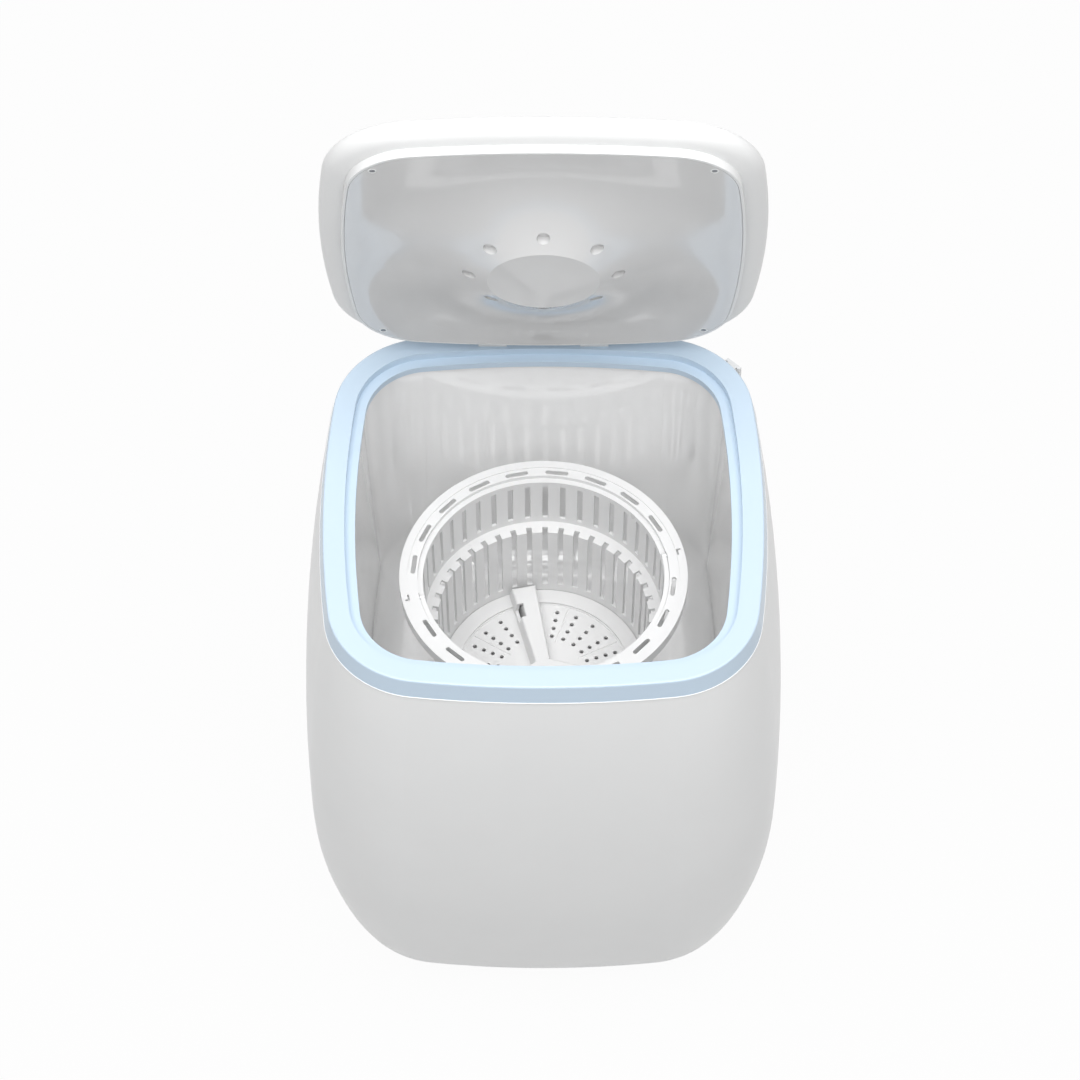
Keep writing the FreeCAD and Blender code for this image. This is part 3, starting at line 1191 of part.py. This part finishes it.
ring_turned = turned("basket_ring_turned", [
    ("basket_mouth", "seat_under"), ("basket_mouth", "handle_seat"), ("seat_radius", "handle_seat"),
    ("seat_radius", "basket_ring_top"), ("basket_ring_radius - basket_lip_width", "basket_ring_top"),
    ("basket_ring_radius - basket_lip_width", "basket_ring_top + basket_lip_rise"),
    ("basket_ring_radius", "basket_ring_top + basket_lip_rise"),
    ("basket_ring_radius", "basket_ring_top - basket_skirt"),
    ("basket_ring_radius - basket_wall_thick", "basket_ring_top - basket_skirt"),
    ("basket_ring_radius - basket_wall_thick", "ring_under"), ("web_radius", "ring_under"),
    ("web_radius", "seat_under"), (skirt_outer, "seat_under"), (skirt_outer, "seat_under - basket_collar"),
    (skirt_inner, "seat_under - basket_collar"), (skirt_inner, "seat_under"),
])
ring_block = joined("basket_ring_block", [ring_turned, made("basket_ring_bosses", pin_bosses())])
keep("basket_ring", yawed(cut("basket_ring", ring_block, [made("basket_ring_cuts", ring_cuts())])))
keep("basket_handle", yawed(made("basket_handle", basket_handle())))
yawed(group("handle_pins", around(handle_pin(), 2)))

# Hinge brackets on the ring, and the lid, built closed and then opened about the hinge axis


def span(side, low, high):
    """Low and high along X on the right (1) or mirrored to the left (-1)."""
    return (low, high) if side > 0 else (f"-({high})", f"-({low})")


def hinge_bracket(name, side):
    plate = box(name + "_plate", span(side, "hinge_inner_ear", "ear_end"),
                ("hinge_behind - hinge_ear_radius - wall / 2", "hinge_behind + hinge_ear_radius"),
                ("rim_top", "rim_top + hinge_plate"))
    pieces = [plate]
    ears = {"inner": ("hinge_inner_ear", "knuckle_start"), "outer": ("knuckle_end", "ear_end")}
    for ear, ends in ears.items():
        across = span(side, *ends)
        pieces.append(box(f"{name}_{ear}_post", across,
                          ("hinge_behind - hinge_ear_radius", "hinge_behind + hinge_ear_radius"),
                          ("rim_top", "hinge_height")))
        pieces.append(cross_rod(f"{name}_{ear}_head", "hinge_ear_radius", *across,
                                "hinge_behind", "hinge_height"))
    pin_hole = cross_rod(name + "_pin_hole", "hinge_pin_radius", *span(side, "hinge_inner_ear", "ear_end"),
                         "hinge_behind", "hinge_height")
    middle = "(knuckle_end + ear_end) / 2" if side > 0 else "-(knuckle_end + ear_end) / 2"
    pilot = rod(name + "_pilot", "screw_radius", "rim_top", "hinge_height - hinge_pin_radius",
                middle, "hinge_behind")
    return keep(name, cut(name, joined(name + "_block", pieces), [pin_hole, pilot]))


def opened(piece):
    """Swing a piece of the closed lid open about the hinge axis."""
    hinge = Vector(0, at.hinge_behind, at.hinge_height)
    piece.Placement = Placement(Vector(), Rotation(Vector(1, 0, 0), -at.lid_open), hinge)
    return piece


LID_SCREWS = four_corners(corner_spot(rim_sides(at.panel_inset), at.lid_screw_inset))
FLARE_BOW = ((at.flare_radius - at.boss_radius) ** 2 + at.boss_drop ** 2) / (2 * at.boss_drop)


def lid_block(sheet_gap):
    """The lid's form as a solid; the gap is 0 for its outside and the sheet for its hollow."""
    lip = at.lid_lip_inset + sheet_gap
    swell = at.rim_top + at.lid_swell_rise
    low = at.rim_top + 2 * at.fit_gap + sheet_gap
    reach = at.lid_lip_inset - at.lid_swell_inset
    top = at.lid_edge_top - sheet_gap

    def section(share, z):
        sides = rim_sides(lip - reach * share)
        sides[0] += at.lid_side_swell * share
        return outline(*sides, z)

    wires = []
    for step in range(5):
        angle = math.pi / 2 * step / 4
        wires.append(section(math.sin(angle), swell - (swell - low) * math.cos(angle)))
    for step in range(1, 5):
        angle = math.pi / 2 * step / 4
        wires.append(section(math.cos(angle), swell + (top - swell) * math.sin(angle)))
    skirt = prism(lip, at.lid_rim, low)
    if sheet_gap == 0:
        skirt = rounded(skirt, at.lid_sheet / 3, at.lid_rim)
    return skirt.fuse(loft(wires))


def lid_crown():
    """The slight dome on the lid's flat top, a wall in from the top's edge."""
    edge = at.rim_half_width - at.lid_lip_inset - at.wall
    rises = [(share, at.lid_edge_top + at.lid_crown * (1 - share ** 2)) for share in (1, 0.7, 0.4, 0.1)]
    return loft([scaled_wire(edge * share, z) for share, z in rises])


def hinge_notch(side):
    """The room in the lid's rear edge for one hinge bracket."""
    low = at.hinge_inner_ear - at.wall / 2
    width = at.ear_end - low + at.wall / 2
    depth = at.hinge_ear_radius + 1.5 * at.wall
    height = at.hinge_height + at.hinge_ear_radius + at.hinge_plate - at.lid_rim
    return Part.makeBox(width, 6 * at.wall + depth, height,
                        Vector(low if side > 0 else -low - width, at.hinge_behind - depth, at.lid_rim))


def lid_shell():
    shell = lid_block(0).fuse(lid_crown()).cut(lid_block(at.lid_sheet))
    boss_top = at.lid_edge_top - at.lid_sheet / 2
    pilot_top = at.lid_ceiling - at.wall
    for spot in LID_SCREWS:
        shell = shell.fuse(upright(3 * at.lid_screw_radius, at.panel_back, boss_top, spot))
    tools = [upright(at.lid_screw_radius, at.panel_back, pilot_top, spot) for spot in LID_SCREWS]
    return shell.cut(tools + [hinge_notch(1), hinge_notch(-1)])


def panel_face(thick):
    """Half of the panel's section: flat boss, flared bow and flat rim, up to the panel's back."""
    rim, boss = at.lid_rim, at.lid_rim - at.boss_drop
    centre = Vector(at.flare_radius, 0, rim - FLARE_BOW)
    reach = 2 * at.rim_half_width

    def bow(radius, level):
        """The flare's arc at a radius, from a level up to the flat rim, with its middle point."""
        start = Vector(centre.x - math.sqrt(radius ** 2 - (level - centre.z) ** 2), 0, level)
        end = Vector(centre.x, 0, centre.z + radius)
        middle = centre + ((start - centre).normalize() + (end - centre).normalize()).normalize() * radius
        return start, middle, end

    low = bow(FLARE_BOW, boss)
    high = bow(FLARE_BOW + thick, boss + thick)
    edges = [
        Part.LineSegment(Vector(0, 0, boss), low[0]).toShape(),
        Part.Arc(*low).toShape(),
        Part.LineSegment(low[2], Vector(reach, 0, rim)).toShape(),
        Part.LineSegment(Vector(reach, 0, rim), Vector(reach, 0, rim + thick)).toShape(),
        Part.LineSegment(Vector(reach, 0, rim + thick), high[2]).toShape(),
        Part.Arc(*high).toShape(),
        Part.LineSegment(high[0], Vector(0, 0, boss + thick)).toShape(),
        Part.LineSegment(Vector(0, 0, boss + thick), Vector(0, 0, boss)).toShape(),
    ]
    return Part.Face(Part.Wire(edges))


def lid_panel():
    turned_panel = panel_face(at.lid_sheet).revolve(Vector(), UP, 360)
    panel = turned_panel.common(prism(at.panel_inset, at.lid_rim - 2 * at.boss_drop, at.lid_edge_top))
    drop = at.flare_radius - at.dimple_circle
    surface = at.lid_rim - FLARE_BOW + math.sqrt(FLARE_BOW ** 2 - drop ** 2)
    above = panel_face(2 * at.boss_drop).revolve(Vector(), UP, 360)
    spot = Vector(at.dimple_circle, 0, 0)
    floor = surface + at.dimple_depth
    cup = upright(at.dimple_radius + at.lid_sheet, surface - at.dimple_depth, floor + at.lid_sheet, spot)
    for copy in around(cup, at.dimples):
        panel = panel.fuse(copy.common(above))
    pocket = upright(at.dimple_radius, surface - 2 * at.dimple_depth, floor, spot)
    tools = around(pocket, at.dimples)
    head_seat = at.lid_rim + at.lid_sheet / 2
    for corner in LID_SCREWS:
        tools.append(upright(at.lid_screw_radius + at.fit_gap, at.lid_rim, at.panel_back, corner))
        tools.append(upright(at.lid_screw_head + at.fit_gap, at.lid_rim, head_seat, corner))
    return panel.cut(tools)


def lid_screw(spot):
    seat = at.lid_rim + at.lid_sheet / 2
    return screw_up(spot, seat, at.lid_ceiling - 2 * at.wall, at.lid_screw_radius, at.lid_screw_head,
                    at.lid_sheet / 2 - at.run_gap)


def hinge_arm(side):
    """The lid's half of one hinge: a knuckle on the pin and an arm up to the lid's ceiling."""
    low = at.knuckle_start + at.fit_gap
    width = at.hinge_knuckle - 2 * at.fit_gap
    left = low if side > 0 else -low - width
    knuckle_end = Vector(left, at.hinge_behind, at.hinge_height)
    knuckle = Part.makeCylinder(at.hinge_ear_radius, width, knuckle_end, Vector(1, 0, 0))
    length = 8 * at.hinge_ear_radius
    thick = 1.5 * at.hinge_ear_radius
    arm_low = at.hinge_height - thick / 2
    arm_end = Vector(left, at.hinge_behind - length, arm_low)
    arm = Part.makeBox(width, length, thick, arm_end)
    pad = Part.makeBox(width, length / 2, at.lid_ceiling - arm_low, arm_end)
    bore = Part.makeCylinder(at.hinge_pin_radius + at.run_gap, width, knuckle_end, Vector(1, 0, 0))
    return knuckle.fuse(arm).fuse(pad).cut(bore).removeSplitter()


def hinge_pin(side):
    length = at.ear_end - at.hinge_inner_ear
    left = at.hinge_inner_ear if side > 0 else -at.ear_end
    return Part.makeCylinder(at.hinge_pin_radius, length, Vector(left, at.hinge_behind, at.hinge_height),
                             Vector(1, 0, 0))


hinge_bracket("hinge_bracket_right", 1)
hinge_bracket("hinge_bracket_left", -1)
group("hinge_pins", [hinge_pin(1), hinge_pin(-1)])
group("hinge_screws", [plain_screw(spot, at.rim_top - at.wall, at.hinge_height - 1.5 * at.hinge_pin_radius)
                       for spot in HINGE_SCREWS])
keep("lid_shell", opened(made("lid_shell", lid_shell())))
keep("lid_panel", opened(made("lid_panel", lid_panel())))
opened(group("lid_screws", [lid_screw(spot) for spot in LID_SCREWS]))
opened(group("lid_hinge_arms", [hinge_arm(1), hinge_arm(-1)]))

# Check every object and write one file for each sub-part

doc.recompute()
broken = [thing.Name for thing in doc.Objects if "Invalid" in thing.State or "Error" in thing.State]
for label, piece in nodes.items():
    if piece.Shape.isNull() or not piece.Shape.isValid() or not piece.Shape.Solids:
        broken.append(label)
if broken:
    raise RuntimeError("these objects failed: " + ", ".join(broken))
os.makedirs("parts", exist_ok=True)
for label, piece in nodes.items():
    piece.Shape.exportStep(os.path.join("parts", label + ".step"))
print(len(nodes), "sub-parts written")
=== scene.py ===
import json
import math

import bpy
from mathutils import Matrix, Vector


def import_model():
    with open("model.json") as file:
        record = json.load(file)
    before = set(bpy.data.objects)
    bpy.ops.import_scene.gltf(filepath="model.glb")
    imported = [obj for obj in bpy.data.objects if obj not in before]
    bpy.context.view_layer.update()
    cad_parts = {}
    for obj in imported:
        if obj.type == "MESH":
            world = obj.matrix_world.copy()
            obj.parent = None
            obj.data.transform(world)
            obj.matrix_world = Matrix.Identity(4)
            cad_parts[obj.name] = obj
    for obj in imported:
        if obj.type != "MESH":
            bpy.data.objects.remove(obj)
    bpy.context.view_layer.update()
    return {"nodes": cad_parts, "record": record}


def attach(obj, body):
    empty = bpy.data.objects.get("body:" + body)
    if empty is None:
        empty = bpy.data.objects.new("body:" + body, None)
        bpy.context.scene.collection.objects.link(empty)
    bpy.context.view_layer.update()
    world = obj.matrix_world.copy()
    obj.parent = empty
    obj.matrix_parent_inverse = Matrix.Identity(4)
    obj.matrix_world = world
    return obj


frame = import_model()

# Materials: each builds its colour, gloss and surface from nodes, in metres of the object's own space

NOISE_LOW, NOISE_HIGH = 0.1, 0.9
CLOUD_SIZE = 0.06
GLOSS_PATCH_SIZE = 0.02
GLOSS_UNEVENNESS = 0.15
COAT_ROUGHNESS = 0.03
SKIN_GRAIN, SKIN_RELIEF = 0.008, 0.000004
FINE_GRAIN = 0.0016


def new_material(name):
    """A material with its node tree, its main shader and its object coordinates."""
    material = bpy.data.materials.new(name)
    material.use_nodes = True
    nodes = material.node_tree.nodes
    shader = nodes["Principled BSDF"]
    place = nodes.new("ShaderNodeTexCoord")
    return material, shader, place.outputs["Object"]


def noise(material, place, size, detail=2.0):
    """A noise value whose features are about that size, in metres."""
    node = material.node_tree.nodes.new("ShaderNodeTexNoise")
    node.inputs["Scale"].default_value = 1.0 / size
    node.inputs["Detail"].default_value = detail
    material.node_tree.links.new(place, node.inputs["Vector"])
    return node.outputs["Fac"]


def spread(material, source, low, high):
    """The noise value moved into a range."""
    node = material.node_tree.nodes.new("ShaderNodeMapRange")
    node.inputs["From Min"].default_value = NOISE_LOW
    node.inputs["From Max"].default_value = NOISE_HIGH
    node.inputs["To Min"].default_value = low
    node.inputs["To Max"].default_value = high
    material.node_tree.links.new(source, node.inputs["Value"])
    return node.outputs["Result"]


def tint(material, source, first, second):
    """A colour that moves between two near shades with the noise."""
    node = material.node_tree.nodes.new("ShaderNodeValToRGB")
    ends = node.color_ramp.elements
    ends[0].position = NOISE_LOW
    ends[1].position = NOISE_HIGH
    ends[0].color = (*first, 1.0)
    ends[1].color = (*second, 1.0)
    material.node_tree.links.new(source, node.inputs["Fac"])
    return node.outputs["Color"]


def bump(material, shader, source, height):
    """Small relief, its height in metres."""
    node = material.node_tree.nodes.new("ShaderNodeBump")
    node.inputs["Distance"].default_value = height
    node.inputs["Strength"].default_value = 1.0
    material.node_tree.links.new(source, node.inputs["Height"])
    material.node_tree.links.new(node.outputs["Normal"], shader.inputs["Normal"])


def finish(name, colour, roughness, shade=0.97, grain=SKIN_GRAIN, relief=SKIN_RELIEF, metal=0.0,
           coat=0.0, coat_index=1.5):
    """A surface with faint cloudiness in its colour, uneven gloss, a fine skin and maybe a clear coat."""
    material, shader, place = new_material(name)
    link = material.node_tree.links.new
    dark = tuple(channel * shade for channel in colour)
    link(tint(material, noise(material, place, CLOUD_SIZE), dark, colour), shader.inputs["Base Color"])
    smoother, rougher = roughness * (1.0 - GLOSS_UNEVENNESS), roughness * (1.0 + GLOSS_UNEVENNESS)
    gloss = spread(material, noise(material, place, GLOSS_PATCH_SIZE, 3.0), smoother, rougher)
    link(gloss, shader.inputs["Roughness"])
    bump(material, shader, noise(material, place, grain), relief)
    shader.inputs["Metallic"].default_value = metal
    shader.inputs["Coat Weight"].default_value = coat
    shader.inputs["Coat Roughness"].default_value = COAT_ROUGHNESS
    shader.inputs["Coat IOR"].default_value = coat_index
    return material


def fine(name, colour, roughness, shade, relief, metal=0.0):
    """A finish with a fine grain, for rubber, metal and the other small hard pieces."""
    return finish(name, colour, roughness, shade, FINE_GRAIN, relief, metal)


FINISHES = {
    "white_gloss": finish("white_moulding", (0.83, 0.835, 0.835), 0.32),
    "ring_blue": finish("blue_moulding", (0.55, 0.67, 0.79), 0.24, shade=0.985),
    # The tub's white is lighter than the cabinet's: painted light, brightening the tub's inner walls.
    "tub_white": finish("tub_moulding_painted_light", (0.94, 0.94, 0.94), 0.12, coat=1.0, coat_index=1.8),
    # The lid panel's white is darker than the cabinet's: painted shade on the panel that faces away from the
    # lamps.
    "panel_white": finish("panel_moulding_painted_shade", (0.73, 0.73, 0.73), 0.10, relief=0.000002, coat=0.45),
    # The basket's white is darker than the cabinet's: painted shade that tones down its lit ring, ledge and
    # floor.
    "basket_white": finish("basket_moulding_painted_shade", (0.74, 0.74, 0.74), 0.30),
    "rubber": fine("black_rubber", (0.03, 0.03, 0.032), 0.75, shade=0.8, relief=0.00006),
    "steel": fine("bright_steel", (0.56, 0.57, 0.58), 0.32, shade=0.9, relief=0.00001, metal=1.0),
    "cast_alloy": fine("cast_aluminium", (0.58, 0.59, 0.60), 0.48, shade=0.9, relief=0.00008, metal=1.0),
    "bronze": fine("sintered_bronze", (0.60, 0.42, 0.20), 0.4, shade=0.85, relief=0.00003, metal=1.0),
    "motor_paint": fine("grey_paint", (0.05, 0.052, 0.056), 0.45, shade=0.85, relief=0.00004),
    "dark_plastic": fine("dark_moulding", (0.02, 0.02, 0.022), 0.45, shade=0.85, relief=0.00004),
    "board_green": fine("circuit_board", (0.01, 0.10, 0.035), 0.35, shade=0.8, relief=0.00003),
    "laminations": fine("steel_laminations", (0.22, 0.22, 0.225), 0.5, shade=0.85, relief=0.00004, metal=1.0),
}
NODE_FINISHES = {
    # The lid screws' steel is darkened: painted shade, standing in for the shadow in the screw recesses.
    "lid_screws": fine("screw_steel_painted_shade", (0.34, 0.34, 0.34), 0.3, shade=0.9, relief=0.00001, metal=1.0),
}
for row in frame["record"]["subparts"]:
    node = frame["nodes"][row["node"]]
    node.data.materials.clear()
    node.data.materials.append(NODE_FINISHES.get(row["node"], FINISHES[row["material_slot"]]))

# Thin trim: the cabinet's rolled lip, a bright line under the ring, and the washers of the lid screws

WALL_REACH = 0.004
LEVEL_ROOM = 0.0001
LIP_RADIUS = 0.0006
LID_LEAN = math.radians(12.7)
HEAD_SKIN = 0.00005
CUP_PROFILE = [(0.00215, 0.0), (0.0024, 0.0002), (0.0032, 0.0002), (0.0034, 0.0)]
CUP_SIDES = 32
CUP_CREASE = math.radians(50)


def add_trim(name, shape, body):
    """A white piece of trim that moves with a body."""
    shape.materials.append(FINISHES["white_gloss"])
    piece = bpy.data.objects.new(name, shape)
    bpy.context.scene.collection.objects.link(piece)
    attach(piece, body)


def top_edge(node):
    """The outer edge of a node's top, in order round the drive axis, from the walls that look outwards."""
    points = [vertex.co for vertex in node.data.vertices]
    top = max(point.z for point in points)
    edge = {}
    for face in node.data.polygons:
        corners = [points[index] for index in face.vertices]
        looks_out = face.normal.xy.dot(face.center.xy) > 0.5 * face.center.xy.length
        if looks_out and min(corner.z for corner in corners) < top - WALL_REACH:
            for corner in corners:
                if corner.z > top - LEVEL_ROOM:
                    edge[(round(corner.x, 5), round(corner.y, 5))] = corner
    return sorted(edge.values(), key=lambda point: math.atan2(point.y, point.x))


def rolled_lip(points):
    """A round bead along a closed line."""
    line = bpy.data.curves.new("cabinet_lip", "CURVE")
    line.dimensions = "3D"
    line.bevel_depth = LIP_RADIUS
    line.bevel_resolution = 3
    spline = line.splines.new("POLY")
    spline.points.add(len(points) - 1)
    for place, point in zip(spline.points, points):
        place.co = (*point, 1.0)
    spline.use_cyclic_u = True
    add_trim("cabinet_lip", line, "cabinet")


def head_centres(node, facing):
    """The middle of each screw head of a node, one in each quarter of its box, on the panel's face."""
    points = [vertex.co for vertex in node.data.vertices]
    middle_height = (min(point.z for point in points) + max(point.z for point in points)) / 2
    quarters = {}
    for point in points:
        quarters.setdefault((point.x > 0, point.z > middle_height), []).append(point)
    centres = []
    for quarter in quarters.values():
        nearest = max(point.dot(facing) for point in quarter)
        head = [point for point in quarter if point.dot(facing) > nearest - HEAD_SKIN]
        low = Vector(min(point[axis] for point in head) for axis in range(3))
        high = Vector(max(point[axis] for point in head) for axis in range(3))
        centres.append((low + high) / 2 + facing * HEAD_SKIN)
    return centres


def screw_cups(centres, facing):
    """Washers on the panel: one closed profile of radius and height, turned round each screw."""
    across = Vector((1.0, 0.0, 0.0))
    upward = across.cross(facing)
    count = len(CUP_PROFILE)
    corners, faces = [], []
    for centre in centres:
        start = len(corners)
        for side in range(CUP_SIDES):
            angle = math.tau * side / CUP_SIDES
            spoke = across * math.cos(angle) + upward * math.sin(angle)
            corners += [centre + spoke * radius + facing * height for radius, height in CUP_PROFILE]
        for side in range(CUP_SIDES):
            here, beyond = start + side * count, start + (side + 1) % CUP_SIDES * count
            for step in range(count):
                after = (step + 1) % count
                faces.append((here + step, beyond + step, beyond + after, here + after))
    mesh = bpy.data.meshes.new("lid_screw_cups")
    mesh.from_pydata(corners, [], faces)
    mesh.shade_smooth()
    mesh.set_sharp_from_angle(angle=CUP_CREASE)
    add_trim("lid_screw_cups", mesh, "lid")


lid_facing = Vector((0.0, -math.cos(LID_LEAN), -math.sin(LID_LEAN)))
screw_cups(head_centres(frame["nodes"]["lid_screws"], lid_facing), lid_facing)
rolled_lip(top_edge(frame["nodes"]["body_shell"]))

# Stage: a white floor that keeps a faint shadow, a pale world and three broad lamps

WHITE = (1.0, 1.0, 1.0, 1.0)
FLOOR_GREY = (0.5, 0.5, 0.5, 1.0)
FLOOR_ROUGHNESS = 0.6
FLOOR_HALF = 6.0
FLOOR_WHITENESS = 0.96
SKY_STRENGTH = 0.34
FILL_TARGET = (0.0, 0.1, 0.35)
LAMPS = [
    # name, place, target, size and power in watts
    ("overhead", (0.0, -0.55, 2.8), (0.0, 0.0, 0.4), (3.2, 2.2), 80.0),
    ("front", (0.0, -2.4, 2.4), FILL_TARGET, (2.4, 1.2), 14.0),
    ("rear", (0.0, 2.6, 1.6), FILL_TARGET, (2.4, 1.2), 7.0),
]
CAMERA_PLACE = (0.0, -2.191, 3.314)
CAMERA_TILT = math.radians(37.02)
CAMERA_LENS, CAMERA_SENSOR = 151.17, 36.0
CAMERA_SHIFT = -0.0032


def seen_directly(nodes, links):
    """One for what the camera sees itself, in a mirror or through glass, and nothing for other light."""
    ray = nodes.new("ShaderNodeLightPath")
    total = ray.outputs["Is Camera Ray"]
    for kind in ("Is Glossy Ray", "Is Transmission Ray"):
        add = nodes.new("ShaderNodeMath")
        add.operation = "ADD"
        add.use_clamp = True
        links.new(total, add.inputs[0])
        links.new(ray.outputs[kind], add.inputs[1])
        total = add.outputs[0]
    return total


def floor():
    """A pale floor; the share of it that glows white to the eye leaves room for a shadow."""
    mesh = bpy.data.meshes.new("floor")
    corners = [(-1, -1), (1, -1), (1, 1), (-1, 1)]
    mesh.from_pydata([(FLOOR_HALF * x, FLOOR_HALF * y, 0) for x, y in corners], [], [(0, 1, 2, 3)])
    piece = bpy.data.objects.new("floor", mesh)
    bpy.context.scene.collection.objects.link(piece)
    material = bpy.data.materials.new("floor")
    material.use_nodes = True
    nodes, links = material.node_tree.nodes, material.node_tree.links
    shader = nodes["Principled BSDF"]
    shader.inputs["Base Color"].default_value = FLOOR_GREY
    shader.inputs["Roughness"].default_value = FLOOR_ROUGHNESS
    glow = nodes.new("ShaderNodeEmission")
    share = nodes.new("ShaderNodeMath")
    share.operation = "MULTIPLY"
    share.inputs[1].default_value = FLOOR_WHITENESS
    mix = nodes.new("ShaderNodeMixShader")
    links.new(seen_directly(nodes, links), share.inputs[0])
    links.new(share.outputs[0], mix.inputs["Fac"])
    links.new(shader.outputs[0], mix.inputs[1])
    links.new(glow.outputs[0], mix.inputs[2])
    links.new(mix.outputs[0], nodes["Material Output"].inputs["Surface"])
    mesh.materials.append(material)


def world():
    """An even white sky that lights at one strength and looks plain white."""
    scene = bpy.context.scene
    scene.world = bpy.data.worlds.new("studio")
    scene.world.use_nodes = True
    nodes, links = scene.world.node_tree.nodes, scene.world.node_tree.links
    sky = nodes["Background"]
    sky.inputs["Strength"].default_value = SKY_STRENGTH
    sky.inputs["Color"].default_value = WHITE
    seen = nodes.new("ShaderNodeBackground")
    seen.inputs["Color"].default_value = WHITE
    mix = nodes.new("ShaderNodeMixShader")
    links.new(seen_directly(nodes, links), mix.inputs["Fac"])
    links.new(sky.outputs[0], mix.inputs[1])
    links.new(seen.outputs[0], mix.inputs[2])
    links.new(mix.outputs[0], nodes["World Output"].inputs["Surface"])


def lamp(name, spot, target, size, power):
    """A broad rectangular lamp that looks at a target."""
    light = bpy.data.lights.new(name, "AREA")
    light.shape = "RECTANGLE"
    light.size, light.size_y = size
    light.energy = power
    piece = bpy.data.objects.new(name, light)
    piece.location = spot
    piece.rotation_euler = (Vector(target) - Vector(spot)).to_track_quat("-Z", "Y").to_euler()
    bpy.context.scene.collection.objects.link(piece)


def camera():
    """The photo's view: from the front and well above, through a long lens."""
    data = bpy.data.cameras.new("camera")
    data.lens = CAMERA_LENS
    data.sensor_width = CAMERA_SENSOR
    data.shift_x = CAMERA_SHIFT
    piece = bpy.data.objects.new("camera", data)
    piece.location = CAMERA_PLACE
    piece.rotation_euler = (CAMERA_TILT, 0.0, 0.0)
    bpy.context.scene.collection.objects.link(piece)
    bpy.context.scene.camera = piece


floor()
world()
for row in LAMPS:
    lamp(*row)
camera()
bpy.context.scene.view_settings.view_transform = "Standard"
